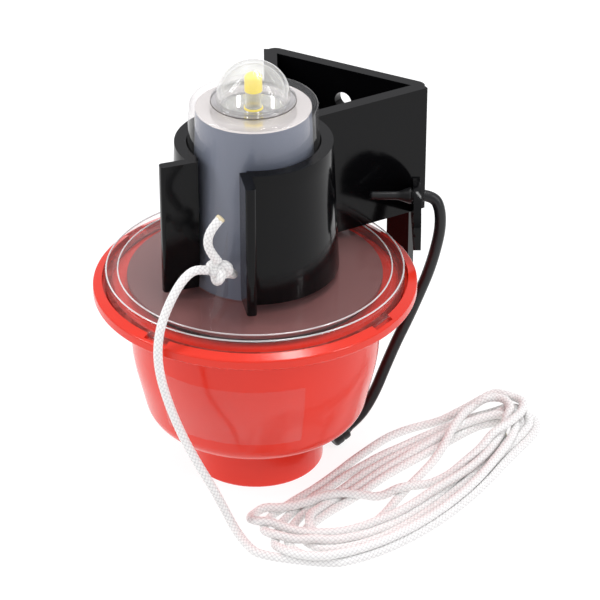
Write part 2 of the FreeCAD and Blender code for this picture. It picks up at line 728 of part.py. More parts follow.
def add_ears(body):
    """Add a rounded ear beside each end of the wall plate, with the strap's hole in it."""
    reach, height, arch = cell("ear_reach"), cell("ear_height"), cell("ear_arch")
    root, thick = cell("ear_root"), cell("ear_thickness")
    ear_back = wall_face - cell("ear_base_back")
    outline = [(-root, 0), (reach, 0), (reach, height, arch), (0, height, arch), (0, root), (-root, root)]
    for side, name in ((1, "right"), (-1, "left")):
        angle = cell("ear_angle") if side > 0 else -180 - cell("ear_angle")
        base = (side * plate_edge(ear_back), ear_back, angle)
        ear = offset_sketch(body, "ear_sketch_" + name, *base, loops=[outline])
        extrude(body, "ear_" + name, ear, thick, midplane=True)
        hole = offset_sketch(body, "ear_hole_sketch_" + name, *base)
        draw_circle(hole, cell("ear_hole_place"), cell("ear_hole_rise"), cell("ear_hole_radius"))
        extrude(body, "ear_hole_" + name, hole, thick * 2, cutting=True, midplane=True)


def make_bracket():
    """One moulding: clip ring with flared lips, two side plates, wall plate with legs, and two ears."""
    clear, clip, skin = cell("clip_clearance"), cell("clip_wall"), cell("wall_thickness")
    ring_low = tower_radius(cell("bracket_lift")) + clear
    ring_top = tower_radius(cell("bracket_lift") + bracket_height) + clear
    body = new_body("bracket_body")
    add_clip_ring(body, ring_low, ring_top)
    add_walls(body, (ring_low + ring_top + clip) / 2)
    add_ears(body)
    screws = offset_sketch(body, "screw_sketch", 0, wall_face + skin / 2, 0)
    for sign in (1, -1):
        height = bracket_height / 2 + sign * cell("screw_hole_spacing") / 2
        draw_circle(screws, 0, height, cell("screw_hole_radius"))
    extrude(body, "screw_holes", screws, skin * 2, cutting=True, midplane=True)
    slope = (ring_low - ring_top) / bracket_height
    revolve(body, "tower_space", [
        (0, -1), (ring_low + slope, -1), (ring_top - slope, bracket_height + 1), (0, bracket_height + 1),
    ], cutting=True)
    place(body, 0, 0, bracket_low)
    return keep(body, "bracket")


# ---------------------------------------------------------------- retaining strap and lanyard

def cord_wire(points, name):
    """Make a path of straight runs joined by tangent arcs, each as large as its two runs allow."""
    spots = [Vector(*point) for point in points]
    edges = []
    here = spots[0]
    radii = []
    for back, corner, ahead in zip(spots, spots[1:], spots[2:]):
        into, out = corner - back, ahead - corner
        half_turn = into.getAngle(out) / 2
        reach = 0.45 * min(into.Length, out.Length)
        radii.append(reach / math.tan(half_turn))
        start = corner - Vector(into).normalize() * reach
        end = corner + Vector(out).normalize() * reach
        inward = (Vector(out).normalize() - Vector(into).normalize()).normalize()
        middle = corner + inward * (radii[-1] / math.cos(half_turn) - radii[-1])
        edges.append(Part.LineSegment(here, start).toShape())
        edges.append(Part.Arc(start, middle, end).toShape())
        here = end
    edges.append(Part.LineSegment(here, spots[-1]).toShape())
    path = Part.Wire(edges)
    print(name, "length", round(path.Length, 1), "radii", [round(r, 1) for r in radii])
    return path


def cord_solid(points, radius, name):
    """Sweep a round section along a cord's path."""
    path = cord_wire(points, name)
    heading = Vector(*points[1]) - Vector(*points[0])
    disc = Part.Wire(Part.makeCircle(radius, Vector(*points[0]), heading))
    solid = path.makePipeShell([disc], True, False)
    print(name, "volume over section times length", round(solid.Volume / (math.pi * radius ** 2 * path.Length), 4))
    return solid


STRAP_ROUTE = [
    (38.9, 48.5, 89.3), (42.3, 50.3, 88.7), (44.4, 50.6, 84.2), (45.0, 49.9, 77.6), (44.3, 48.3, 70.2),
    (42.9, 46.1, 61.9), (40.6, 43.4, 53.3), (38.0, 40.6, 44.4), (35.1, 37.7, 35.6), (32.6, 34.4, 26.2),
    (30.8, 30.7, 17.8), (28.7, 26.9, 11.4), (26.4, 23.4, 7.6), (24.7, 20.2, 6.0),
]

LEAD_ROUTE = [
    (4.1, -38.1, 93.0), (2.6, -40.9, 94.4), (1.0, -44.0, 93.9), (-0.4, -47.3, 91.4),
    (-1.7, -50.4, 87.2), (-2.7, -53.5, 82.3), (-3.2, -56.4, 76.6), (-3.1, -58.0, 68.8),
    (-2.5, -57.3, 60.3), (-1.1, -55.9, 51.8), (1.2, -54.8, 43.6), (4.5, -54.0, 35.6),
    (8.4, -53.3, 28.2), (12.2, -51.8, 20.6), (14.6, -49.2, 12.4), (17.2, -48.0, 5.6),
    (21.4, -49.6, 2.1), (27.3, -53.4, 1.6), (33.6, -56.3, 1.6), (39.6, -56.3, 1.6),
]

TAIL_ROUTE = [
    (7.0, -35.8, 96.0), (5.6, -38.2, 100.2), (5.1, -39.2, 104.6), (6.2, -38.0, 109.0),
    (8.3, -35.6, 112.2),
]

HANK_OUTLINE = [
    (17.6, -41.4, 3.0), (20.4, -31.5, 8.0), (28.6, -19.0, 20.0), (30.6, -4.0, 30.0), (31.6, 12.0, 40.0),
    (35.4, 30.0, 25.0), (44.0, 47.0, 25.0), (53.0, 57.0, 30.0), (60.5, 67.0, 15.0), (69.5, 73.6, 6.0),
    (78.0, 68.0, 9.0), (83.0, 56.0, 20.0), (83.0, 40.0, 30.0), (80.0, 20.0, 30.0), (79.4, 0.0, 25.0),
    (75.0, -18.0, 30.0), (67.0, -37.0, 30.0), (57.5, -53.0, 9.0), (45.0, -57.6, 8.0),
    (36.4, -51.4, 6.0), (31.4, -46.6, 20.0), (23.6, -43.4, 20.0),
]


def make_strap():
    """Rubber strap: root with barb and pull tail through the ear, hanging part, and knob."""
    angle = cell("ear_angle")
    along = Vector(cosine(angle).number, sine(angle).number, 0)
    through = Vector(-sine(angle).number, cosine(angle).number, 0)
    ear_back = wall_face - cell("ear_base_back")
    hole_z = bracket_low + cell("ear_hole_rise")
    base = Vector(plate_edge(ear_back).number, ear_back.number, hole_z.number)
    hole = base + along * cell("ear_hole_place").number
    half, gap = cell("ear_thickness").number / 2, cell("clip_clearance").number
    barb, barb_length = cell("barb_radius").number, cell("barb_length").number
    tail = cell("strap_tail_radius").number
    barb_start = hole - through * (half + gap)
    neck_start = hole + through * (half - gap)
    root = Part.makeCylinder(cell("strap_neck_radius").number, half * 2, neck_start, -through)
    root = root.fuse([
        Part.makeCone(barb, tail, barb_length, barb_start, -through),
        Part.makeCylinder(tail, cell("strap_tail").number, barb_start - through * barb_length, -through),
    ])
    root_item = doc.addObject("Part::Feature", "strap_root_item")
    root_item.Shape = root.removeSplitter()
    keep(root_item, "strap_root")
    body = doc.addObject("Part::Feature", "strap_item")
    body.Shape = cord_solid(STRAP_ROUTE, cell("strap_radius").number, "retaining_strap")
    keep(body, "retaining_strap")
    last, before = Vector(*STRAP_ROUTE[-1]), Vector(*STRAP_ROUTE[-2])
    heading = (last - before).normalize()
    knob = Part.makeCylinder(cell("knob_radius").number, cell("knob_length").number, last, heading)
    knob = knob.makeFillet(cell("knob_round").number, knob.Edges[2:3] + knob.Edges[0:1])
    knob_item = doc.addObject("Part::Feature", "knob_item")
    knob_item.Shape = knob
    keep(knob_item, "strap_knob")


def make_lanyard():
    """White lanyard: loop and knot at the fin, cut tail, lead to the floor, and the loose hank."""
    angle = cell("fin_angle")
    along = Vector(cosine(angle).number, sine(angle).number, 0)
    rise, reach = cell("fin_height").number, cell("fin_reach").number
    slope_in = reach - (tower_radius(cell("fin_height")) - tower_wall / 2).number
    outward = (along * rise + Vector(0, 0, slope_in)).normalize()
    hole = along * cell("fin_hole_place").number + Vector(0, 0, (cover_top + cell("fin_hole_rise")).number)
    cord, knot = cell("cord_radius").number, cell("knot_radius").number
    web = (reach - cell("fin_hole_place").number) * rise - cell("fin_hole_rise").number * slope_in
    web = web / math.hypot(rise, slope_in)
    loop_radius = (web + cord + cell("clip_clearance").number * 2) / 2
    up_slope = Vector(-outward.z * along.x, -outward.z * along.y, math.hypot(outward.x, outward.y))
    loop = Part.makeTorus(loop_radius, cord, hole + outward * loop_radius, up_slope)
    centre = hole + outward * (web + knot + cell("clip_clearance").number)
    ball = Part.makeSphere(knot, centre)
    knot_item = doc.addObject("Part::Feature", "knot_item")
    knot_item.Shape = ball.fuse(loop).removeSplitter()
    print("knot centre", centre, "loop radius", loop_radius, "web", web)
    keep(knot_item, "lanyard_knot")
    for name, route in (("lanyard_tail", TAIL_ROUTE), ("lanyard_lead", LEAD_ROUTE)):
        item = doc.addObject("Part::Feature", name + "_item")
        item.Shape = cord_solid(route, cord, name)
        keep(item, name)
    body = new_body("hank_body")
    extrude(body, "hank", new_sketch(body, "hank_sketch", "XY_Plane", HANK_OUTLINE), cell("hank_height"))
    keep(body, "lanyard_hank")


# ---------------------------------------------------------------- build, check and write

def main():
    """Build every sub-part, check each one and write it out."""
    make_bowl()
    make_seal()
    make_ballast()
    make_label()
    make_cover()
    make_dome()
    make_lamp()
    make_housing()
    make_electronics()
    make_power()
    make_bracket()
    make_strap()
    make_lanyard()
    doc.recompute()
    faults = [item.Name for item in doc.Objects if "Invalid" in item.State or "Error" in item.State]
    if faults:
        raise RuntimeError("failed features: " + ", ".join(faults))
    os.makedirs("parts", exist_ok=True)
    for item in NODES:
        if item.Shape.isNull() or not item.Shape.isValid():
            raise RuntimeError(item.Label + " has no valid shape")
    for item in NODES:
        item.Shape.exportStep("parts/" + item.Label + ".step")
        print(item.Label, "solids", len(item.Shape.Solids), "volume", round(item.Shape.Volume, 1))


main()
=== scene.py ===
"""Emergency position beacon: a floating light in its wall bracket, with its strap and lanyard.

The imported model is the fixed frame. Every sub-assembly below either dresses the model's own nodes
or builds finer pieces that stand for them, in metres and in the same frame.
"""

import logging
import math
from dataclasses import dataclass
from enum import Enum
from typing import Any, Protocol

import bpy
import numpy as np
from mathutils import Matrix, Vector


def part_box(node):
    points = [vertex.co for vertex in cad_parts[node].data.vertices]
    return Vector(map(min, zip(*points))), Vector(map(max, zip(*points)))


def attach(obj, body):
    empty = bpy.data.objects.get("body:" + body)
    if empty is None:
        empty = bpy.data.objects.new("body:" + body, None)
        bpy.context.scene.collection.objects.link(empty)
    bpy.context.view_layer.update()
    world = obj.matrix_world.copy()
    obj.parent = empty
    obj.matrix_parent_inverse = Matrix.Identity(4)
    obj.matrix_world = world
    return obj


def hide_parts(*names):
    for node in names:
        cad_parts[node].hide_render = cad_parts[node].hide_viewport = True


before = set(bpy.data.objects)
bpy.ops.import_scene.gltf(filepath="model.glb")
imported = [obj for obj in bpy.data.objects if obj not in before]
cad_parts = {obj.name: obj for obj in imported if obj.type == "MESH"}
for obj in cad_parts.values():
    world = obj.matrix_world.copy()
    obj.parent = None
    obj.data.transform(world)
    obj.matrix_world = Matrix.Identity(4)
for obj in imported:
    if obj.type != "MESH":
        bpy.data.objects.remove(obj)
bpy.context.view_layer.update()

LOG = logging.getLogger("beacon")
MM = 0.001
Colour = tuple[float, float, float]
BRAID_GRID = "braid_grid"
YARNS = 6
STITCH = 1.7 * MM


class Body(Enum):
    """The moving bodies that a piece can ride on."""

    LIGHT = "light"
    BRACKET = "bracket"
    STRAP = "strap"
    BALL = "tilt_ball"


class Slot(Enum):
    """The record's material slots that new pieces take."""

    RED = "red_plastic"
    CLEAR = "clear_plastic"
    YELLOW = "lamp_yellow"
    RUBBER = "black_rubber"
    BRAID = "white_braid"


class Finish(Protocol):
    """Anything that can make a named material."""

    name: str

    def material(self) -> bpy.types.Material:
        """Return the material."""


# ---- shader building


class Value:
    """A number in a shader that adds a Math node for each operator used on it."""

    def __init__(self, shader: "Shader", socket: bpy.types.NodeSocket) -> None:
        """Wrap one output socket.

        Args:
            shader: The shader that the socket belongs to.
            socket: The socket that gives the number.
        """
        self.shader = shader
        self.socket = socket

    def apply(self, operation: str, *operands: Any) -> "Value":
        """Add one Math node.

        Args:
            operation: The node's operation.
            *operands: Numbers or values, in the node's own order.

        Returns:
            The node's result.
        """
        inputs = dict(enumerate(operands))
        node = self.shader.node("ShaderNodeMath", {"operation": operation}, inputs)
        return Value(self.shader, node.outputs[0])

    def __add__(self, other: Any) -> "Value":
        """Return the sum."""
        return self.apply("ADD", self, other)

    def __radd__(self, other: Any) -> "Value":
        """Return the sum with a number on the left."""
        return self.apply("ADD", other, self)

    def __sub__(self, other: Any) -> "Value":
        """Return the difference."""
        return self.apply("SUBTRACT", self, other)

    def __rsub__(self, other: Any) -> "Value":
        """Return the difference with a number on the left."""
        return self.apply("SUBTRACT", other, self)

    def __mul__(self, other: Any) -> "Value":
        """Return the product."""
        return self.apply("MULTIPLY", self, other)

    def __rmul__(self, other: Any) -> "Value":
        """Return the product with a number on the left."""
        return self.apply("MULTIPLY", other, self)

    def __pow__(self, other: Any) -> "Value":
        """Return the power."""
        return self.apply("POWER", self, other)

    def fraction(self) -> "Value":
        """Return the part after the point."""
        return self.apply("FRACT", self)

    def whole(self) -> "Value":
        """Return the whole part."""
        return self.apply("FLOOR", self)

    def larger(self, other: Any) -> "Value":
        """Return the larger of this and another."""
        return self.apply("MAXIMUM", self, other)

    def above(self, other: Any) -> "Value":
        """Return 1 where this is above another, and 0 elsewhere."""
        return self.apply("GREATER_THAN", self, other)


class Shader:
    """One material, or the room's own shader, under construction."""

    def __init__(self, name: str, world: bpy.types.World | None = None) -> None:
        """Start empty.

        Args:
            name: The material's name.
            world: The room to shade instead of a new material.
        """
        self.material = world or bpy.data.materials.new(name)
        self.material.use_nodes = True
        self.tree = self.material.node_tree
        self.tree.nodes.clear()

    def node(self, kind: str, settings: dict[str, Any] | None = None,
             inputs: dict[Any, Any] | None = None) -> bpy.types.Node:
        """Add a node.

        Args:
            kind: The node's type.
            settings: Its settings; "stops" gives a ramp's places and colours.
            inputs: What goes into its sockets, by name or number: a value, a socket or a constant.

        Returns:
            The node.
        """
        made = self.tree.nodes.new(kind)
        for name, setting in (settings or {}).items():
            if name == "stops":
                ramp = made.color_ramp.elements
                while len(ramp) < len(setting):
                    ramp.new(0.5)
                for element, (spot, colour) in zip(ramp, setting):
                    element.position = spot
                    element.color = (*colour, 1.0)
            else:
                setattr(made, name, setting)
        for key, given in (inputs or {}).items():
            socket = made.inputs[key]
            if isinstance(given, Value):
                self.tree.links.new(given.socket, socket)
            elif isinstance(given, bpy.types.NodeSocket):
                self.tree.links.new(given, socket)
            else:
                socket.default_value = given
        return made

    def noise(self, scale: float, detail: float = 3.0, stretch: Colour = (1, 1, 1)) -> Value:
        """Add noise in the object's own space.

        Args:
            scale: Cells per metre.
            detail: How many finer layers it has.
            stretch: How much the space is squeezed along each axis.

        Returns:
            The noise, about 0 to 1.
        """
        place = self.node("ShaderNodeTexCoord").outputs["Object"]
        moved = self.node("ShaderNodeMapping", None, {"Vector": place, "Scale": stretch})
        made = self.node("ShaderNodeTexNoise", None,
                         {"Vector": moved.outputs[0], "Scale": scale, "Detail": detail})
        return Value(self, made.outputs["Fac"])

    def blend(self, factor: Any, first: Any, second: Any) -> bpy.types.NodeSocket:
        """Mix two colours.

        Args:
            factor: How much of the second there is.
            first: The first colour or colour socket.
            second: The second colour or colour socket.

        Returns:
            The mixed colour's socket.
        """
        colours = [c if isinstance(c, bpy.types.NodeSocket) else (*c, 1.0) for c in (first, second)]
        made = self.node("ShaderNodeMix", {"data_type": "RGBA"},
                         {0: factor, 6: colours[0], 7: colours[1]})
        return made.outputs[2]

    def bump(self, height: Value, strength: float, distance: float) -> bpy.types.NodeSocket:
        """Add a bump.

        Args:
            height: The height, 0 to 1.
            strength: The bump's strength.
            distance: The height of 1, in metres.

        Returns:
            The normal's socket.
        """
        made = self.node("ShaderNodeBump", None,
                         {"Strength": strength, "Distance": distance, "Height": height})
        return made.outputs[0]

    def principled(self, inputs: dict[str, Any]) -> bpy.types.NodeSocket:
        """Add the main surface shader.

        Args:
            inputs: What goes into its sockets, by name.

        Returns:
            Its output.
        """
        return self.node("ShaderNodeBsdfPrincipled", None, inputs).outputs[0]

    def finish(self, surface: bpy.types.NodeSocket) -> bpy.types.Material:
        """Connect the surface to the output.

        Args:
            surface: The output of the last surface node.

        Returns:
            The finished material.
        """
        self.node("ShaderNodeOutputMaterial", None, {"Surface": surface})
        return self.material


# ---- finishes


@dataclass(frozen=True)
class Moulded:
    """Moulded plastic or rubber: soft mottling, a fine skin and its own gloss."""

    name: str
    colour: Colour
    shade: Colour
    roughness: float
    gloss: float = 0.5
    coat: float = 0.0
    skin: float = 0.08
    skin_scale: float = 700.0
    glow: float = 0.0
    painted_glow: float = 0.0

    def material(self) -> bpy.types.Material:
        """Return the material."""
        shader = Shader(self.name)
        cloud = shader.noise(38.0)
        fine = shader.noise(self.skin_scale, 2.0)
        flow = shader.noise(60.0, 2.0, (1.0, 1.0, 0.15))
        mask = cloud * 0.6 + flow * 0.4
        inputs = {
            "Base Color": shader.blend(mask, self.colour, self.shade),
            "Roughness": self.roughness + (fine - 0.5) * 0.08 + (cloud - 0.5) * 0.06,
            "Specular IOR Level": self.gloss,
            "Normal": shader.bump(fine * 0.6 + cloud * 0.4, self.skin, 0.0002),
        }
        if self.coat:
            inputs["Coat Weight"] = self.coat
            inputs["Coat Roughness"] = 0.06
        # Emission in the part's own colour: a painted glow, for parts that are not lit lamps.
        if self.painted_glow:
            inputs["Emission Color"] = (*self.colour, 1.0)
            inputs["Emission Strength"] = self.painted_glow
        if self.glow:
            inputs["Subsurface Weight"] = self.glow
            inputs["Subsurface Radius"] = (0.004, 0.0012, 0.0008)
        return shader.finish(shader.principled(inputs))


@dataclass(frozen=True)
class Clear:
    """Clear moulded plastic: seen through, with a bright sheen towards its edges."""

    name: str
    tint: Colour
    haze: float
    edge: float
    roughness: float = 0.04
    steep: float = 3.0
    face: float = 0.035

    def material(self) -> bpy.types.Material:
        """Return the material."""
        shader = Shader(self.name)
        shape = shader.node("ShaderNodeNewGeometry").outputs
        rise = shader.node("ShaderNodeSeparateXYZ", None, {"Vector": shape["True Normal"]})
        level = (Value(shader, rise.outputs["Z"]) ** 2).above(0.9)
        normal = shader.node("ShaderNodeMix", {"data_type": "VECTOR"}, {
            0: level, 4: shape["Normal"], 5: shape["True Normal"],
        }).outputs[1]
        weight = shader.node("ShaderNodeLayerWeight", None, {"Blend": 0.5, "Normal": normal})
        turned = Value(shader, weight.outputs["Facing"])
        swirl = shader.noise(45.0, 2.0, (1.0, 1.0, 0.3))
        through = shader.node("ShaderNodeBsdfTransparent", None, {"Color": (*self.tint, 1.0)})
        body = shader.principled({
            "Base Color": shader.blend(swirl, self.tint, (0.93, 0.94, 0.95)),
            "Roughness": 0.35,
            "Normal": normal,
        })
        misty = shader.node("ShaderNodeMixShader", None, {
            0: self.haze * (0.3 + swirl * 0.3 + turned * 1.6), 1: through.outputs[0], 2: body,
        })
        mirror = shader.principled({
            "Base Color": (1.0, 1.0, 1.0, 1.0), "Metallic": 1.0,
            "Roughness": self.roughness + swirl * 0.03,
            "Normal": normal,
        })
        sheen = shader.node("ShaderNodeMixShader", None, {
            0: self.face + turned ** self.steep * self.edge, 1: misty.outputs[0], 2: mirror,
        })
        return shader.finish(sheen.outputs[0])


@dataclass(frozen=True)
class Metal:
    """Plain or plated metal with fine turned or drawn lines."""

    name: str
    colour: Colour
    shade: Colour
    roughness: float
    lines: float = 0.15
    metallic: float = 1.0

    def material(self) -> bpy.types.Material:
        """Return the material."""
        shader = Shader(self.name)
        fine = shader.noise(900.0, 2.0, (1.0, 1.0, 6.0))
        cloud = shader.noise(90.0)
        return shader.finish(shader.principled({
            "Base Color": shader.blend(cloud, self.colour, self.shade),
            "Metallic": self.metallic,
            "Roughness": self.roughness + (fine - 0.5) * 0.12,
            "Normal": shader.bump(fine, self.lines, 0.0001),
        }))


@dataclass(frozen=True)
class Board:
    """Printed board: green lacquer over paler tracks."""

    name: str = "board_lacquer"

    def material(self) -> bpy.types.Material:
        """Return the material."""
        shader = Shader(self.name)
        place = shader.node("ShaderNodeTexCoord").outputs["Object"]
        brick = shader.node("ShaderNodeTexBrick", None, {
            "Vector": place, "Scale": 260.0, "Mortar Size": 0.06, "Mortar Smooth": 0.3,
        })
        track = Value(shader, brick.outputs["Fac"])
        cloud = shader.noise(120.0)
        base = shader.blend(cloud, (0.01, 0.16, 0.05), (0.015, 0.10, 0.04))
        return shader.finish(shader.principled({
            "Base Color": shader.blend(track, base, (0.05, 0.30, 0.10)),
            "Roughness": 0.28 + cloud * 0.1,
            "Normal": shader.bump(track, 0.3, 0.0001),
        }))


@dataclass(frozen=True)
class Housing:
    """Grey housing: cool grey tower over a disc painted with red light from the bowl, redder and
    darker towards +X.
    """

    name: str = "grey_housing_plastic"
    disc_top: float = 73.6 * MM

    def material(self) -> bpy.types.Material:
        """Return the material."""
        shader = Shader(self.name)
        place = shader.node("ShaderNodeTexCoord").outputs["Object"]
        parts = shader.node("ShaderNodeSeparateXYZ", None, {"Vector": place})
        height = Value(shader, parts.outputs["Z"])
        across = Value(shader, parts.outputs["X"])
        cloud = shader.noise(40.0)
        fine = shader.noise(700.0, 2.0)
        # The disc's grey is painted over with the bowl's red light: plain pinkish grey on the -X
        # side, deep red and darker towards +X. This is painted reflected light and shade.
        side = (across * 11.0 + 0.5).larger(0.0).apply("MINIMUM", 1.0)
        painted_red_disc = shader.blend(side, (0.24, 0.125, 0.12), (0.20, 0.030, 0.026))
        tower = shader.blend(cloud, (0.185, 0.222, 0.290), (0.170, 0.205, 0.268))
        flat = shader.node("ShaderNodeNewGeometry").outputs["True Normal"]
        normal = shader.node("ShaderNodeMix", {"data_type": "VECTOR"}, {
            0: height.above(self.disc_top), 4: flat, 5: shader.bump(fine, 0.08, 0.0001),
        })
        return shader.finish(shader.principled({
            "Base Color": shader.blend(height.above(self.disc_top), painted_red_disc, tower),
            "Roughness": 0.42 + fine * 0.08,
            "Normal": normal.outputs[1],
        }))


@dataclass(frozen=True)
class Jacket:
    """Cell wrapper: black lower part, copper-coloured upper band and a bare top."""

    name: str = "cell_wrapper"
    split: float = 0.0985
    top: float = 0.1128

    def material(self) -> bpy.types.Material:
        """Return the material."""
        shader = Shader(self.name)
        place = shader.node("ShaderNodeTexCoord").outputs["Object"]
        parts = shader.node("ShaderNodeSeparateXYZ", None, {"Vector": place})
        height = Value(shader, parts.outputs["Z"])
        fine = shader.noise(500.0)
        copper = shader.blend(fine, (0.75, 0.33, 0.13), (0.62, 0.25, 0.09))
        lower = shader.blend(height.above(self.split), (0.012, 0.012, 0.014), copper)
        return shader.finish(shader.principled({
            "Base Color": shader.blend(height.above(self.top), lower, (0.72, 0.72, 0.70)),
            "Metallic": height.above(self.split),
            "Roughness": 0.24 + fine * 0.12,
            "Normal": shader.bump(fine, 0.05, 0.0001),
        }))


@dataclass(frozen=True)
class Braid:
    """Braided cord: crossing yarns that follow the tube's own turn and length coordinates."""

    name: str
    light: Colour
    hollow_shade: Colour
    yarns: int = YARNS

    def material(self) -> bpy.types.Material:
        """Return the material."""
        shader = Shader(self.name)
        grid = shader.node("ShaderNodeUVMap", {"uv_map": BRAID_GRID})
        parts = shader.node("ShaderNodeSeparateXYZ", None, {"Vector": grid.outputs[0]})
        turn = Value(shader, parts.outputs["X"]) * float(self.yarns)
        along = Value(shader, parts.outputs["Y"])
        first, second = turn + along, turn - along
        side_a, side_b = first.fraction() - 0.5, second.fraction() - 0.5
        parity = (first.whole() + second.whole()) * 0.5
        over = parity.fraction().above(0.25)
        crown_a = (1 - side_a * side_a * 3.4) * (1 - side_b * side_b * 1.4)
        crown_b = (1 - side_b * side_b * 3.4) * (1 - side_a * side_a * 1.4)
        height = over * crown_a + (1 - over) * crown_b
        strand = over * side_a + (1 - over) * side_b
        ply = (strand * 5.0).fraction() - 0.5
        relief = height * 0.85 + (0.25 - ply * ply) * 0.5
        cloud = shader.noise(60.0)
        pale = shader.blend(cloud, self.light, tuple(c * 0.95 for c in self.light))
        return shader.finish(shader.principled({
            # Base colour darkens towards the second colour where the yarns dip: painted shade in
            # the braid's hollows.
            "Base Color": shader.blend((1 - height) ** 1.4 * 0.9, pale, self.hollow_shade),
            "Roughness": 0.72 + cloud * 0.2,
            "Specular IOR Level": 0.25,
            "Normal": shader.bump(relief, 0.55, 0.00025),
        }))


RED = Moulded("red_float_plastic", (0.80, 0.034, 0.014), (0.70, 0.026, 0.012), 0.20,
              gloss=0.34, coat=0.08, skin=0.05, glow=0.06)
BLACK = Moulded("black_bracket_plastic", (0.002, 0.002, 0.0025), (0.0035, 0.0035, 0.004), 0.12,
                gloss=0.17, skin=0.06, skin_scale=500.0)
RUBBER = Moulded("black_strap_rubber", (0.006, 0.006, 0.007), (0.011, 0.011, 0.012), 0.38,
                 gloss=0.4, skin=0.2, skin_scale=1400.0)
SEAL = Moulded("seal_rubber_skin", (0.46, 0.045, 0.03), (0.38, 0.04, 0.03), 0.5, skin=0.2)
WHITE = Moulded("white_carrier_plastic", (0.78, 0.78, 0.75), (0.70, 0.70, 0.67), 0.35)
DARK = Moulded("dark_component_case", (0.015, 0.015, 0.017), (0.03, 0.03, 0.032), 0.4)
# The cap's emission is a painted glow that brightens its yellow; the lamp is not lit.
YELLOW = Moulded("lamp_yellow_cap", (0.98, 0.74, 0.012), (0.98, 0.80, 0.03), 0.3,
                 skin=0.15, painted_glow=0.3)
CREAM = Moulded("melted_cord_end", (0.80, 0.72, 0.50), (0.68, 0.56, 0.34), 0.35, skin=0.3)
COVER = Clear("clear_cover_plastic", (0.98, 0.965, 0.965), 0.015, 0.7, steep=4.5, face=0.014)
DOME = Clear("clear_dome_plastic", (0.97, 0.97, 0.965), 0.17, 0.6, steep=3.4, face=0.022)
DOME_FOOT = Clear("dome_foot_edge", (0.82, 0.82, 0.83), 0.06, 0.8)
FILM = Clear("clear_label_film", (0.99, 0.985, 0.985), 0.008, 0.2, roughness=0.12, face=0.008)
FROST = Clear("frosted_lamp_body", (0.93, 0.92, 0.80), 0.5, 0.5, roughness=0.2)
CHROME = Metal("bright_reflector", (0.97, 0.97, 0.95), (0.90, 0.90, 0.88), 0.16)
SATIN = Metal("satin_reflector", (0.93, 0.93, 0.91), (0.87, 0.87, 0.85), 0.14, metallic=0.45)
# Whitish rings that stand for the highlight lines along the cover's flange: a painted highlight.
HIGHLIGHT_RING = Clear("painted_highlight_ring", (0.97, 0.96, 0.96), 0.55, 0.5, face=0.12)
# A dark ring at the dome's foot: painted shade in the groove there.
SHADE = Moulded("dome_foot_groove_shade", (0.12, 0.10, 0.095), (0.09, 0.08, 0.075), 0.3)
STEEL = Metal("steel", (0.56, 0.56, 0.55), (0.48, 0.48, 0.47), 0.30)
BRASS = Metal("brass_contact", (0.80, 0.58, 0.24), (0.70, 0.48, 0.18), 0.26)
# The second colour is the painted shade in the braid's hollows.
WHITE_BRAID = Braid("white_braided_cord", (0.97, 0.965, 0.95), (0.55, 0.53, 0.54))


# ---- mesh building


def add_piece(name: str, mesh: bpy.types.ID, finish: Finish, body: Body,
              stands_for: tuple[str, ...] = ()) -> bpy.types.Object:
    """Put a finished piece in the scene and on its body.

    Args:
        name: The piece's name.
        mesh: Its mesh or curve.
        finish: The finish that dresses it.
        body: The body that it rides on.
        stands_for: The CAD nodes that it replaces.

    Returns:
        The piece.
    """
    piece = bpy.data.objects.new(name, mesh)
    bpy.context.scene.collection.objects.link(piece)
    mesh.materials.append(dressed(finish))
    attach(piece, body.value)
    if stands_for:
        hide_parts(*stands_for)
    LOG.info("%s rides on %s", name, body.value)
    return piece


MATERIALS: dict[str, bpy.types.Material] = {}
SHARP_EDGE = math.radians(38)


def dressed(finish: Finish) -> bpy.types.Material:
    """Return a finish's material, which is made once.

    Args:
        finish: The finish.

    Returns:
        The material.
    """
    if finish.name not in MATERIALS:
        MATERIALS[finish.name] = finish.material()
    return MATERIALS[finish.name]


def dress(node: str, finish: Finish) -> None:
    """Give a CAD node its finish in place of its plain material.

    Args:
        node: The node's name.
        finish: The finish.
    """
    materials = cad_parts[node].data.materials
    for index in range(len(materials)):
        materials[index] = dressed(finish)
    LOG.info("%s is dressed in %s", node, finish.name)


def facing(heading: Vector, origin: Vector) -> Matrix:
    """Return a place whose Z axis points along a heading.

    Args:
        heading: The way that Z points.
        origin: The place's origin.

    Returns:
        The place.
    """
    turn = heading.normalized().to_track_quat("Z", "Y").to_matrix().to_4x4()
    return Matrix.Translation(origin) @ turn


def lathe(name: str, profile: list[tuple[float, float]], place: Matrix,
          segments: int = 64) -> bpy.types.Mesh:
    """Turn a closed profile about an axis.

    Args:
        name: The mesh's name.
        profile: Radius and height of each corner; a radius of 0 is on the axis.
        place: Where the axis is.
        segments: How many steps the turn has.

    Returns:
        The mesh.
    """
    verts: list[Vector] = []
    rings: list[list[int]] = []
    for radius, height in profile:
        if radius < 1e-9:
            rings.append([len(verts)] * segments)
            verts.append(place @ Vector((0.0, 0.0, height)))
            continue
        rings.append(list(range(len(verts), len(verts) + segments)))
        for step in range(segments):
            angle = math.tau * step / segments
            spot = Vector((radius * math.cos(angle), radius * math.sin(angle), height))
            verts.append(place @ spot)
    faces = []
    closed = profile[0][0] > 1e-9
    pairs = list(zip(rings, rings[1:] + rings[:1])) if closed else list(zip(rings, rings[1:]))
    for low, high in pairs:
        for step in range(segments):
            after = (step + 1) % segments
            corners = [low[step], low[after], high[after], high[step]]
            kept = [c for i, c in enumerate(corners) if c != corners[i - 1]]
            if len(kept) > 2:
                faces.append(kept)
    mesh = bpy.data.meshes.new(name)
    mesh.from_pydata(verts, [], faces)
    mesh.polygons.foreach_set("use_smooth", [True] * len(faces))
    mesh.set_sharp_from_angle(angle=SHARP_EDGE)
    mesh.update()
    return mesh


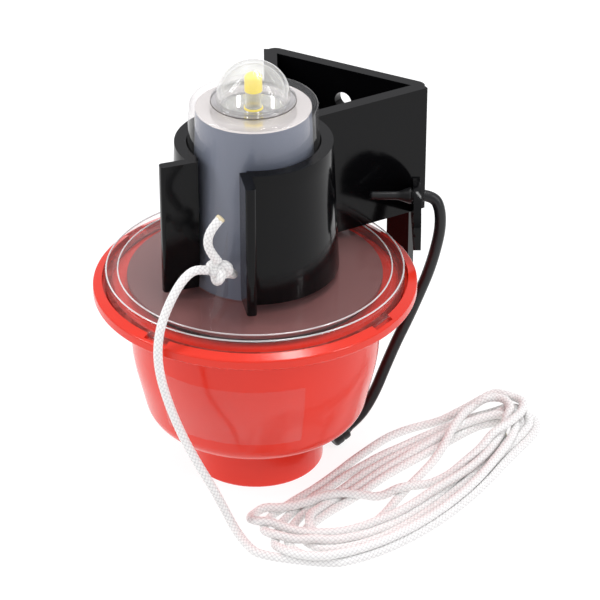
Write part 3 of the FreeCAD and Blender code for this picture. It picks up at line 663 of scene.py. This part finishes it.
UPRIGHT = Matrix.Identity(4)
RING_STEPS = 160
SECTION_STEPS = 10


def ring(name: str, radius: float, height: float, thick: float) -> bpy.types.Mesh:
    """Make a round-sectioned ring about the light's axis.

    Args:
        name: The mesh's name.
        radius: The ring's radius to the middle of its section.
        height: The height of its middle.
        thick: The radius of its section.

    Returns:
        The mesh.
    """
    profile = []
    for step in range(SECTION_STEPS):
        angle = math.tau * step / SECTION_STEPS
        profile.append((radius + thick * math.cos(angle), height + thick * math.sin(angle)))
    return lathe(name, profile, UPRIGHT, RING_STEPS)


def draw_in(node: str, depth: float = 0.04 * MM) -> None:
    """Draw a node's skin in a little, so that it doesn't share a face with what it touches.

    Args:
        node: The node's name.
        depth: How far its skin goes in, in metres.
    """
    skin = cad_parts[node].modifiers.new("draw_in", "DISPLACE")
    skin.strength = -depth
    skin.mid_level = 0.0


def rounded(profile: list[tuple[float, ...]], steps: int = 5) -> list[tuple[float, float]]:
    """Round the corners of a profile that carry a third number, their radius.

    Args:
        profile: Corners as (radius, height) or (radius, height, rounding), in millimetres.
        steps: How many points each rounding gets.

    Returns:
        The profile with its roundings drawn out, in metres.
    """
    spots = [Vector((c[0], c[1])) for c in profile]
    out: list[tuple[float, float]] = []
    for index, corner in enumerate(profile):
        if len(corner) < 3:
            out.append((corner[0] * MM, corner[1] * MM))
            continue
        here = spots[index]
        start = here + (spots[index - 1] - here).normalized() * corner[2]
        end = here + (spots[(index + 1) % len(spots)] - here).normalized() * corner[2]
        for step in range(steps + 1):
            share = step / steps
            spot = start * (1 - share) ** 2 + here * 2 * share * (1 - share) + end * share ** 2
            out.append((spot.x * MM, spot.y * MM))
    return out


def smooth_line(points: list[tuple[float, float, float]], name: str,
                cyclic: bool = False) -> bpy.types.Curve:
    """Make the smooth line of a cord, with the points as its control points.

    Args:
        points: The route in millimetres.
        name: The curve's name.
        cyclic: Whether the line is a closed loop.

    Returns:
        The curve, with no thickness yet.
    """
    curve = bpy.data.curves.new(name, "CURVE")
    curve.dimensions = "3D"
    spline = curve.splines.new("NURBS")
    spline.points.add(len(points) - 1)
    for point, spot in zip(spline.points, points):
        point.co = (*(v * MM for v in spot), 1.0)
    spline.order_u = 3
    spline.use_cyclic_u = cyclic
    spline.use_endpoint_u = not cyclic
    spline.resolution_u = 12
    return curve


def points_along(curve: bpy.types.Curve, spacing: float) -> np.ndarray:
    """Read evenly spaced points from a smooth line.

    Args:
        curve: The line.
        spacing: The distance between points, in metres.

    Returns:
        One row for each point.
    """
    holder = bpy.data.objects.new(curve.name, curve)
    bpy.context.scene.collection.objects.link(holder)
    bpy.context.view_layer.update()
    mesh = bpy.data.meshes.new_from_object(holder)
    line = np.array([vertex.co for vertex in mesh.vertices], float)
    if curve.splines[0].use_cyclic_u:
        line = np.vstack([line, line[:1]])
    bpy.data.objects.remove(holder)
    bpy.data.meshes.remove(mesh)
    steps = np.linalg.norm(np.diff(line, axis=0), axis=1)
    line = line[np.concatenate([[True], steps > 1e-7])]
    run = np.concatenate([[0.0], np.cumsum(np.linalg.norm(np.diff(line, axis=0), axis=1))])
    wanted = np.linspace(0.0, run[-1], max(int(run[-1] / spacing), 8) + 1)
    return np.stack([np.interp(wanted, run, line[:, axis]) for axis in range(3)], axis=1)


@dataclass
class Tube:
    """A braided tube round a line of points, with its yarns raised."""

    radius: float = 1.5 * MM
    sides: int = 24
    yarns: int = YARNS
    stitch: float = STITCH
    relief: float = 0.13 * MM

    def frames(self, line: np.ndarray) -> tuple[np.ndarray, np.ndarray]:
        """Carry a pair of cross axes along the line without twist.

        Args:
            line: The points.

        Returns:
            The first and the second cross axis at each point.
        """
        heading = np.gradient(line, axis=0)
        heading /= np.linalg.norm(heading, axis=1)[:, None]
        start = np.cross(heading[0], (0.31, 0.17, 0.94))
        across = np.zeros_like(line)
        across[0] = start / np.linalg.norm(start)
        for index in range(1, len(line)):
            carried = across[index - 1] - heading[index] * (across[index - 1] @ heading[index])
            across[index] = carried / np.linalg.norm(carried)
        return across, np.cross(heading, across)

    def height(self, turn: np.ndarray, along: np.ndarray) -> np.ndarray:
        """Return how high the yarns stand at places on the tube.

        Args:
            turn: How far round the tube each place is, 0 to 1.
            along: How far along it each place is, in stitches.

        Returns:
            The heights, about 0 to 1.
        """
        first, second = turn * self.yarns + along, turn * self.yarns - along
        side_a, side_b = first % 1 - 0.5, second % 1 - 0.5
        over = (np.floor(first) + np.floor(second)) % 2
        crown_a = (1 - 3.4 * side_a ** 2) * (1 - 1.4 * side_b ** 2)
        crown_b = (1 - 3.4 * side_b ** 2) * (1 - 1.4 * side_a ** 2)
        return np.where(over > 0.5, crown_a, crown_b)

    def build(self, name: str, lines: list[np.ndarray], closed: list[bool]) -> bpy.types.Mesh:
        """Build the tube.

        Args:
            name: The mesh's name.
            lines: The points of each length of cord.
            closed: Whether each length is a loop.

        Returns:
            The mesh, with its turn and length coordinates.
        """
        verts, faces, grids = [], [], []
        total = 0
        for line, loop in zip(lines, closed):
            across, up = self.frames(line)
            run = np.concatenate([[0.0], np.cumsum(np.linalg.norm(np.diff(line, axis=0), axis=1))])
            turn = np.arange(self.sides) / self.sides
            along = run[:, None] / self.stitch
            reach = self.radius + self.relief * (self.height(turn[None, :], along) - 0.75)
            angle = turn * math.tau
            side = across[:, None, :] * np.cos(angle)[None, :, None]
            side = side + up[:, None, :] * np.sin(angle)[None, :, None]
            verts.append((line[:, None, :] + side * reach[:, :, None]).reshape(-1, 3))
            rows, cols = np.meshgrid(np.arange(len(line) - 1), np.arange(self.sides), indexing="ij")
            after = (cols + 1) % self.sides
            quads = np.stack([rows * self.sides + cols, rows * self.sides + after,
                              (rows + 1) * self.sides + after, (rows + 1) * self.sides + cols], -1)
            faces.append((quads + total).reshape(-1, 4))
            turns = np.stack([cols, cols + 1, cols + 1, cols], -1) / self.sides
            lengths = np.stack([run[rows], run[rows], run[rows + 1], run[rows + 1]], -1)
            grids.append(np.stack([turns, lengths / self.stitch], -1).reshape(-1, 2))
            total += len(line) * self.sides
        mesh = bpy.data.meshes.new(name)
        mesh.from_pydata(np.concatenate(verts).tolist(), [], np.concatenate(faces).tolist())
        grid = mesh.uv_layers.new(name=BRAID_GRID)
        grid.data.foreach_set("uv", np.concatenate(grids).astype(np.float32).ravel())
        mesh.polygons.foreach_set("use_smooth", [True] * len(mesh.polygons))
        mesh.update()
        return mesh


# ---- studio


SOFTBOXES = (
    ("left_softbox", (-0.75, -0.55, 0.75), (0.15, 0.8), 4.8),
    ("right_softbox", (1.05, 0.05, 0.65), (0.15, 0.8), 3.6),
    ("top_softbox", (0.1, 0.25, 1.2), (0.5, 0.12), 4.2),
)


@dataclass
class Studio:
    """Camera, floor, soft lights and pale surroundings."""

    eye: Vector
    look: Vector
    lens: float = 162.6
    sensor: float = 36.0
    floor_size: float = 6.0
    floor_light: float = 0.85
    aim: Vector = Vector((0.0, 0.0, 0.07))
    sky: tuple = ((0.02, (0.30, 0.30, 0.31)), (0.5, (0.80, 0.80, 0.82)))

    def camera(self) -> None:
        """Stand the camera at its place."""
        data = bpy.data.cameras.new("camera")
        data.lens = self.lens
        data.sensor_width = self.sensor
        data.clip_start, data.clip_end = 0.02, 50.0
        camera = bpy.data.objects.new("camera", data)
        camera.location = self.eye
        camera.rotation_mode = "QUATERNION"
        camera.rotation_quaternion = self.look.to_track_quat("-Z", "Y")
        bpy.context.scene.collection.objects.link(camera)
        bpy.context.scene.camera = camera

    def floor(self) -> None:
        """Lay the plain pale floor."""
        half = self.floor_size / 2
        mesh = bpy.data.meshes.new("floor")
        corners = [(-half, -half, 0), (half, -half, 0), (half, half, 0), (-half, half, 0)]
        mesh.from_pydata(corners, [], [(0, 1, 2, 3)])
        shader = Shader("pale_floor")
        cloud = shader.noise(3.0)
        mesh.materials.append(shader.finish(shader.principled({
            "Base Color": shader.blend(cloud, (0.27, 0.27, 0.27), (0.25, 0.25, 0.252)),
            "Roughness": 0.9,
            "Specular IOR Level": 0.1,
            "Emission Color": (1.0, 1.0, 1.0, 1.0),
            "Emission Strength": self.floor_light,
        })))
        floor = bpy.data.objects.new("floor", mesh)
        bpy.context.scene.collection.objects.link(floor)

    def lamp(self, name: str, place: tuple[float, float, float], size: tuple[float, float],
             power: float) -> None:
        """Hang one softbox that faces the object.

        Args:
            name: The light's name.
            place: Where it hangs, in metres.
            size: Its width and height.
            power: Its power in watts.
        """
        data = bpy.data.lights.new(name, "AREA")
        data.shape = "RECTANGLE"
        data.size, data.size_y = size
        data.energy = power
        light = bpy.data.objects.new(name, data)
        light.location = place
        light.rotation_mode = "QUATERNION"
        light.rotation_quaternion = (self.aim - Vector(place)).to_track_quat("-Z", "Y")
        bpy.context.scene.collection.objects.link(light)

    def surroundings(self) -> None:
        """Make the room: pale overhead and dimmer towards the horizon."""
        world = bpy.data.worlds.new("room")
        shader = Shader("room", world)
        place = shader.node("ShaderNodeTexCoord").outputs["Generated"]
        parts = shader.node("ShaderNodeSeparateXYZ", None, {"Vector": place})
        ramp = shader.node("ShaderNodeValToRGB", {"stops": self.sky}, {0: parts.outputs["Z"]})
        back = shader.node("ShaderNodeBackground", None, {"Color": ramp.outputs[0]})
        shader.node("ShaderNodeOutputWorld", None, {"Surface": back.outputs[0]})
        bpy.context.scene.world = world

    def build(self) -> None:
        """Set the whole studio up."""
        self.camera()
        self.floor()
        self.surroundings()
        for softbox in SOFTBOXES:
            self.lamp(*softbox)
        bpy.context.scene.view_settings.view_transform = "Standard"
        LOG.info("studio is up")


# ---- lanyard

LEAD_ROUTE = [
    (4.1, -38.1, 93.0), (2.6, -40.9, 94.4), (1.0, -44.0, 93.9), (-0.4, -47.3, 91.4),
    (-1.7, -50.4, 87.2), (-2.7, -53.5, 82.3), (-3.2, -56.4, 76.6), (-3.1, -58.0, 68.8),
    (-2.5, -57.3, 60.3), (-1.1, -55.9, 51.8), (1.2, -54.8, 43.6), (4.5, -54.0, 35.6),
    (8.4, -53.3, 28.2), (12.2, -51.8, 20.6), (14.6, -49.2, 12.4), (17.2, -48.0, 5.6),
    (21.4, -49.6, 2.1), (27.3, -53.4, 1.6), (33.6, -56.3, 1.6),
]

TAIL_ROUTE = [
    (7.0, -35.8, 96.0), (5.6, -38.2, 100.2), (5.1, -39.2, 104.6), (6.2, -38.0, 109.0),
    (8.3, -35.6, 112.2),
]

HANK_ROUTE = [
    (57, -48.7, 1.6), (61.2, -44, 1.6), (65.7, -37.9, 1.6), (70.4, -28.5, 1.6), (74.4, -17.7, 1.6),
    (76.8, -8, 1.6), (78.9, 3.3, 1.6), (80.1, 15.6, 1.6), (80.5, 25.5, 1.6), (80.6, 34.1, 1.6),
    (81, 42, 1.6), (81.6, 49, 1.6), (81.6, 55.7, 1.6), (80.2, 61.1, 1.6), (76.8, 64.5, 1.6),
    (72.3, 64.2, 1.6), (69, 59.8, 1.6), (66.5, 54.9, 1.6), (63.1, 51.6, 1.6), (60.6, 46.2, 1.6),
    (58.5, 39.4, 1.6), (56.3, 32.2, 1.6), (53.6, 24, 1.6), (50.9, 15.4, 1.6), (48.3, 6.6, 1.6),
    (46.6, -1.4, 1.6), (45.1, -10.5, 1.6), (43.1, -17.3, 1.6), (41.5, -23.1, 1.6),
    (40.4, -28.6, 1.6), (39.3, -35.8, 1.6), (40.7, -40.4, 1.6), (45.4, -42.9, 1.6),
    (49.9, -43.1, 1.6), (55.1, -39.6, 1.6), (59.8, -34.2, 1.6), (64, -27.6, 1.6),
    (67.4, -19.2, 1.6), (70, -9.6, 1.6), (72.2, 1, 1.6), (73.7, 12.4, 1.6), (74.3, 24, 1.6),
    (74.5, 33.1, 1.6), (74.8, 41.2, 1.6), (75.3, 48.1, 1.6), (76.2, 54.2, 1.6), (75.3, 58.4, 2.9),
    (71.8, 61, 4.4), (67.2, 60.7, 4.4), (64, 57.5, 2.4), (60.3, 52.2, 2.5), (56.8, 45.9, 1.6),
    (53.6, 38.6, 1.7), (50.4, 30.7, 1.6), (47.5, 23.6, 1.6), (44.6, 15.9, 1.6), (42, 7.5, 1.6),
    (40.2, 0.7, 1.6), (39.3, -7.2, 1.6), (37.8, -14.6, 1.6), (35.4, -20.8, 1.6), (34.3, -27, 1.6),
    (34.4, -33.4, 1.6), (35.5, -40.2, 1.6), (38, -45.3, 1.6), (41.6, -48.1, 1.6),
    (46.4, -49.2, 1.6), (51.5, -46.9, 1.6), (56.9, -42.8, 1.6), (61.4, -37.1, 1.6),
    (65.8, -30.9, 1.6), (69.3, -23, 1.6), (72.2, -13.6, 1.6), (74.5, -3, 1.6), (76.3, 8.4, 1.6),
    (77.3, 20.3, 1.6), (77.5, 29.3, 1.6), (77.7, 37.8, 1.7), (78.2, 45.3, 1.6), (78.9, 52, 2.7),
    (78.6, 59.1, 2.9), (74.3, 63.3, 4.5), (67.6, 64.4, 3.8), (62.9, 61.1, 1.6), (59, 55.8, 1.6),
    (54.9, 49.2, 1.6), (51.2, 40.8, 1.6), (47.5, 32.6, 1.6), (44.3, 24.2, 1.6), (40.7, 16.1, 1.6),
    (37.9, 6.5, 1.6), (35.6, -2.3, 1.6), (34.5, -9.9, 1.6), (32.7, -17.2, 1.6), (31.7, -24.2, 1.6),
    (30.5, -30.5, 1.6), (30.6, -36.7, 1.6), (32.9, -43.9, 1.6), (35, -49.2, 1.9),
    (38.5, -51.5, 3.5), (42.5, -53.2, 4.6), (47, -52.7, 4.4), (53.4, -50.5, 4.5),
    (58.3, -45.7, 4.4), (62.5, -39.9, 4.2), (66.5, -33.4, 4.2), (70, -25.6, 4.2), (73, -16.7, 4.1),
    (75.5, -6.3, 4.1), (77.5, 5.3, 4.2), (78.5, 17.4, 4.3), (78.4, 26, 4.4), (78.2, 34.2, 4.5),
    (78, 41.1, 4.6), (76.9, 48.3, 4.2), (75.1, 54, 4.8), (71.9, 57.1, 3.5), (67.5, 56.8, 4.6),
    (64.4, 53.5, 4.6), (61, 48.4, 4.6), (57.5, 42.4, 4.1), (54.9, 35.3, 3.5), (51.9, 27.4, 3.1),
    (49.1, 19.4, 2.3), (46.6, 11.9, 1.6), (44.5, 3.2, 1.7), (42.9, -5.3, 1.6), (41.3, -12.7, 1.6),
    (39.7, -18.9, 2.8), (38.6, -25.2, 3.4), (38.3, -30.9, 4.3), (40.6, -35.3, 4.6),
    (43.9, -38.1, 3.1), (48.3, -37.9, 1.7), (52, -35.5, 1.6), (54.5, -31.8, 1.6),
    (56.5, -26.6, 1.6), (57.9, -21.2, 1.6), (58.6, -13.5, 1.6), (58.1, -5.4, 1.6), (58, 2.2, 1.6),
    (58.4, 11.1, 1.7), (58.5, 20.2, 1.6), (58.5, 28.8, 3), (58, 36.9, 6.4), (57.4, 45.7, 6.9),
    (57.4, 53.1, 5.9), (60.2, 57.4, 8.3), (62.7, 61, 8), (67, 61.9, 7.9), (70.6, 59.3, 7.1),
    (71.3, 54.5, 6.3), (72.6, 48.6, 4.3), (74, 40.2, 4.4), (74.5, 30.9, 4.7), (73.2, 20.9, 4.3),
    (71, 11.5, 4.5), (68.5, 2.7, 4.6), (66, -6, 3.9), (63.6, -14.7, 4.1), (60.5, -22.7, 4.6),
    (56.9, -29.3, 4.5), (52.6, -35.1, 4.7), (47.4, -39.4, 5.1), (40.7, -41.2, 4.4),
    (33.7, -41.3, 4.2), (29.3, -42.2, 5.3), (25.2, -43.8, 5.1), (21.3, -42, 3.5),
    (20.2, -37.8, 2.3), (22.6, -34.1, 4), (26.9, -32.9, 4.4), (30.5, -29.9, 4.4),
    (34.1, -24.7, 4.2), (38.2, -20, 5.7), (42.2, -15, 5.1), (47.3, -11.1, 3.7), (52.9, -7.3, 2),
    (57.5, -2.7, 5.1), (61.1, 3.1, 3.4), (64.2, 9.7, 1.6), (67.2, 16.7, 1.9), (69.8, 24.7, 4.2),
    (71.6, 32.9, 5.2), (72.1, 40.3, 7.3), (73.7, 46.5, 7.1), (75.2, 54, 7.6), (74.7, 59.4, 6.3),
    (73.6, 63.7, 7.7), (69.7, 65.9, 7), (65.6, 64.5, 8.2), (61.6, 63.8, 8.1), (57.9, 58.6, 6.2),
    (53.2, 51.9, 3.7), (48.8, 46.1, 1.6), (44.1, 40, 1.6), (40.1, 33.9, 1.6), (37.1, 26.7, 1.6),
    (35.2, 17.4, 1.6), (33.5, 7.4, 1.6), (32.7, 0.1, 1.6), (31.4, -8.2, 1.6), (30, -15.6, 1.6),
    (28.1, -21.9, 1.6), (27, -27.7, 1.6), (25.6, -32.9, 1.7), (25.9, -38.8, 1.6),
    (27.7, -43.6, 2.4), (30.7, -46.6, 4), (35.4, -46.9, 4.7), (41.3, -45.3, 3.9),
    (46.3, -42.8, 4.6), (51.6, -40.1, 4), (56.3, -34.8, 3.5), (60.2, -28.8, 2.9),
    (63.5, -21.7, 2.6), (66.1, -13.2, 1.6), (68.4, -3.1, 1.6), (70.2, 7.9, 1.6), (71, 18.7, 1.6),
    (71.4, 28.3, 1.6), (71.5, 36.4, 1.6), (71.9, 43.5, 1.6), (72, 49.8, 1.6),
]


@dataclass
class Lanyard:
    """White braided cord: lead and loose hank in one length, knot and loop at the fin, cut tail."""

    diameter: float = 3.0 * MM
    spacing: float = 0.2 * MM
    knot_centre: Vector = Vector((6.78, -34.87, 91.88)) * MM
    fin_angle: float = -79.0
    fin_rise: float = 17.6 / 27.0
    knot_size: float = 1.12 * MM
    knot_depth: float = 1.15
    knot_points: int = 36
    loop_radius: float = 2.99 * MM
    loop_reach: float = 3.1 * MM
    loop_points: int = 16
    tip_overlap: float = 0.3 * MM

    def __post_init__(self) -> None:
        """Read the whole cord's line and measure it."""
        route = smooth_line(LEAD_ROUTE + HANK_ROUTE, "lanyard_line")
        self.line = points_along(route, self.spacing)
        self.length = float(np.linalg.norm(np.diff(self.line, axis=0), axis=1).sum())

    def outward(self) -> Vector:
        """Return the direction in which the loop leaves the fin's sloping edge."""
        angle = math.radians(self.fin_angle)
        return Vector((math.cos(angle), math.sin(angle), self.fin_rise)).normalized()

    def build_lead(self) -> bpy.types.Object:
        """Build the lead and the hank as one cord.

        Returns:
            The cord.
        """
        mesh = Tube().build("lanyard_cord", [self.line], [False])
        return add_piece("lanyard_cord", mesh, WHITE_BRAID, Body.LIGHT,
                         ("lanyard_lead", "lanyard_hank"))

    def build_knot(self) -> bpy.types.Object:
        """Build the overhand knot and the loop through the fin's hole.

        Returns:
            The knot.
        """
        outward = self.outward()
        place = facing(outward, self.knot_centre)
        turns = []
        for step in range(self.knot_points):
            angle = math.tau * step / self.knot_points
            spot = Vector((math.sin(angle) + 2 * math.sin(2 * angle),
                           math.cos(angle) - 2 * math.cos(2 * angle),
                           -self.knot_depth * math.sin(3 * angle))) * self.knot_size
            turns.append(tuple((place @ spot) / MM))
        middle = self.knot_centre - outward * (self.loop_reach + self.loop_radius)
        side = Vector((0, 0, 1)).cross(Vector((outward.x, outward.y, 0))).normalized()
        loop = []
        for step in range(self.loop_points):
            angle = math.tau * step / self.loop_points
            round_spot = outward * math.cos(angle) + side * math.sin(angle)
            loop.append(tuple((middle + round_spot * self.loop_radius) / MM))
        lines = [points_along(smooth_line(turns, "knot_line", cyclic=True), self.spacing),
                 points_along(smooth_line(loop, "loop_line", cyclic=True), self.spacing)]
        mesh = Tube().build("knot_cord", lines, [True, True])
        return add_piece("knot_cord", mesh, WHITE_BRAID, Body.LIGHT,
                         ("lanyard_knot",))

    def build_tail(self) -> list[bpy.types.Object]:
        """Build the cut tail and its melted end, and the melted end of the hank.

        Returns:
            The tail and the two ends.
        """
        line = points_along(smooth_line(TAIL_ROUTE, "tail_line"), self.spacing)
        mesh = Tube().build("tail_cord", [line], [False])
        tail = add_piece("tail_cord", mesh, WHITE_BRAID, Body.LIGHT,
                         ("lanyard_tail",))
        profile = rounded([(0, -0.5), (1.42, -0.5), (1.62, 0.15, 0.15), (1.35, 0.62, 0.3),
                           (0, 0.5)])
        ends = [tail]
        for name, track in (("tail_end", line), ("hank_end", self.line)):
            heading = Vector(track[-1] - track[-8]).normalized()
            seat = Vector(track[-1]) - heading * self.tip_overlap
            tip = lathe(name, profile, facing(heading, seat), 32)
            ends.append(add_piece(name, tip, CREAM, Body.LIGHT))
        return ends

    def build(self) -> None:
        """Build the whole lanyard and log its length."""
        cord = self.build_lead()
        knot = self.build_knot()
        tail, tail_end, hank_end = self.build_tail()
        LOG.info("lanyard is %.3f m long", self.length)


# ---- retaining strap

STRAP_ROUTE = [
    (38.9, 48.5, 89.3), (42.3, 50.3, 88.7), (44.4, 50.6, 84.2), (45.0, 49.9, 77.6),
    (44.3, 48.3, 70.2), (42.9, 46.1, 61.9), (40.6, 43.4, 53.3), (38.0, 40.6, 44.4),
    (35.1, 37.7, 35.6), (32.6, 34.4, 26.2), (30.8, 30.7, 17.8), (28.7, 26.9, 11.4),
    (26.4, 23.4, 7.6), (24.7, 20.2, 6.0),
]


@dataclass
class RetainingStrap:
    """Rubber strap through the bracket's ear: barb and pull tail, hanging part and knob."""

    radius: float = 2.0 * MM
    length: float = 0.097
    hole: Vector = Vector((36.72, 47.31, 89.2)) * MM
    through: Vector = Vector((0.8746, 0.4848, 0.0))

    def build_root(self) -> None:
        """Build the neck in the ear's hole, the barb behind it and the pull tail."""
        profile = rounded([
            (0, 0.95), (1.9, 0.95, 0.2), (1.9, -1.65), (2.9, -1.65, 0.3), (2.85, -2.4, 0.3),
            (1.5, -6.05, 1.0), (1.45, -15.3, 0.5), (1.0, -16.05, 0.4), (0, -16.05),
        ])
        mesh = lathe("strap_barb", profile, facing(self.through, self.hole), 48)
        add_piece("strap_barb", mesh, RUBBER, Body.BRACKET, ("strap_root",))

    def build(self) -> None:
        """Build the strap, its barb and its end knob."""
        self.build_root()
        curve = smooth_line(STRAP_ROUTE, "strap_cord")
        curve.bevel_depth = self.radius
        curve.bevel_resolution = 8
        curve.use_fill_caps = True
        strap = add_piece("strap_cord", curve, RUBBER, Body.STRAP,
                          ("retaining_strap",))
        last, before = Vector(STRAP_ROUTE[-1]) * MM, Vector(STRAP_ROUTE[-2]) * MM
        profile = rounded([
            (0, -1.3), (2.1, -1.3), (2.3, 0.0, 0.4), (3.4, 0.35, 0.7), (3.4, 2.6, 0.3),
            (3.12, 3.0, 0.2), (3.4, 3.4, 0.3), (3.35, 6.8, 1.3), (1.4, 6.75, 0.3), (0, 6.4),
        ])
        mesh = lathe("strap_end_knob", profile, facing(last - before, last), 48)
        knob = add_piece("strap_end_knob", mesh, RUBBER, Body.STRAP,
                         ("strap_knob",))


# ---- float, cover and lamp


@dataclass
class Float:
    """Red float bowl with the seam at its foot, its seal, ballast and label film."""

    seam_height: float = 17.8
    foot_radius: float = 23.3

    def build(self) -> None:
        """Dress the bowl's nodes and add the moulded seam."""
        dress("float_bowl", RED)
        dress("seal_ring", SEAL)
        dress("ballast_weight", STEEL)
        dress("ballast_screw", STEEL)
        dress("label_film", FILM)
        radius, height = self.foot_radius, self.seam_height
        profile = rounded([
            (radius - 0.4, height + 0.3), (radius - 0.4, height - 1.3),
            (radius + 0.35, height - 0.9, 0.3), (radius + 0.9, height + 0.1, 0.2),
        ])
        mesh = lathe("bowl_seam", profile, UPRIGHT, RING_STEPS)
        add_piece("bowl_seam", mesh, RED, Body.LIGHT)


@dataclass
class Cover:
    """Clear cover with two whitish rings on its flange that are painted highlight lines, and the
    grey housing behind it.
    """

    flange_top: float = 75.2 * MM
    highlight_thick: float = 0.26 * MM
    outer_radius: float = 50.3 * MM
    inner_radius: float = 46.4 * MM

    def build(self) -> None:
        """Dress the cover and the housing, and add the painted highlight rings."""
        dress("clear_cover", COVER)
        dress("inner_housing", Housing())
        for node in ("inner_housing", "reflector"):
            draw_in(node)
        # Two whitish rings on the flange's top, at its outer and inner edge, are painted highlight
        # lines.
        highlight_rings = {"cover_highlight_ring_outer": self.outer_radius, "cover_highlight_ring_inner": self.inner_radius}
        for name, radius in highlight_rings.items():
            mesh = ring(name, radius, self.flange_top, self.highlight_thick)
            add_piece(name, mesh, HIGHLIGHT_RING, Body.LIGHT)


@dataclass
class Lamp:
    """Dome, reflector and the two-part lamp in the middle."""

    radius: float = 2.95
    groove_radius: float = 14.05 * MM
    groove_height: float = 136.9 * MM
    groove: float = 0.2 * MM

    def build(self) -> None:
        """Dress the dome and the reflector, and build the lamp."""
        dress("dome_lens", DOME)
        dress("dome_collar", DOME_FOOT)
        dress("reflector", SATIN)
        dress("led_holder", CHROME)
        # The dark ring at the dome's foot is painted shade in its groove.
        groove = ring("dome_groove_shade", self.groove_radius, self.groove_height, self.groove)
        add_piece("dome_groove_shade", groove, SHADE, Body.LIGHT)
        low, high = (corner.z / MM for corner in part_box("led_lamp"))
        split = low + (high - low) * 0.5
        radius = self.radius
        self.turn("lamp_cap", YELLOW, [
            (0, split), (radius, split, 0.2), (radius, high - 1.1, 0.7),
            (radius - 1.1, high - 0.1, 0.7), (0, high),
        ], ("led_lamp",))
        self.turn("lamp_body", FROST, [
            (0, low), (radius, low, 0.1), (radius, low + 0.9, 0.1), (radius - 0.35, low + 1.1),
            (radius - 0.3, split - 0.1), (0, split - 0.1),
        ], ("led_lamp",))
        self.turn("lamp_foot", YELLOW, [
            (radius - 0.1, low - 0.15), (radius + 0.25, low, 0.1),
            (radius + 0.2, low + 0.7, 0.2), (radius - 0.1, low + 0.7),
        ])

    def turn(self, name: str, finish: Finish, profile: list[tuple[float, ...]],
             stands_for: tuple[str, ...] = ()) -> None:
        """Turn one part of the lamp about the light's axis.

        Args:
            name: The part's name.
            finish: Its finish.
            profile: Its profile in millimetres.
            stands_for: The CAD nodes that it replaces.
        """
        mesh = lathe(name, rounded(profile), UPRIGHT)
        add_piece(name, mesh, finish, Body.LIGHT, stands_for)


@dataclass
class Works:
    """What the housing holds: cells, carrier, contacts, board and switch."""

    def build(self) -> None:
        """Dress every inner node."""
        finishes = {
            "circuit_board": Board(), "board_screws": STEEL, "board_parts": DARK,
            "tilt_switch_case": BRASS, "tilt_ball": STEEL, "battery_cells": Jacket(),
            "battery_holder": WHITE, "contact_plates_top": BRASS, "contact_plates_low": BRASS,
            "contact_springs": STEEL,
        }
        for node, finish in finishes.items():
            dress(node, finish)


@dataclass
class Bracket:
    """Black wall bracket with softened edges."""

    edge: float = 0.55 * MM
    join: float = 0.01 * MM
    sharpest: float = math.radians(40)

    def build(self) -> None:
        """Dress the bracket and round its sharp edges."""
        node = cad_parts["bracket"]
        weld = node.modifiers.new("weld", "WELD")
        weld.merge_threshold = self.join
        bevel = node.modifiers.new("soft_edges", "BEVEL")
        bevel.width = self.edge
        bevel.segments = 3
        bevel.limit_method = "ANGLE"
        bevel.angle_limit = self.sharpest
        bevel.harden_normals = False
        dress("bracket", BLACK)


def main() -> None:
    """Build the studio and every sub-assembly in order."""
    logging.basicConfig(level=logging.INFO)
    Studio(eye=Vector((0.4022, -0.6896, 0.5261)), look=Vector((-0.4211, 0.7547, -0.5032))).build()
    Lanyard().build()
    RetainingStrap().build()
    Float().build()
    Cover().build()
    Lamp().build()
    Works().build()
    Bracket().build()


if __name__ == "__main__":
    main()
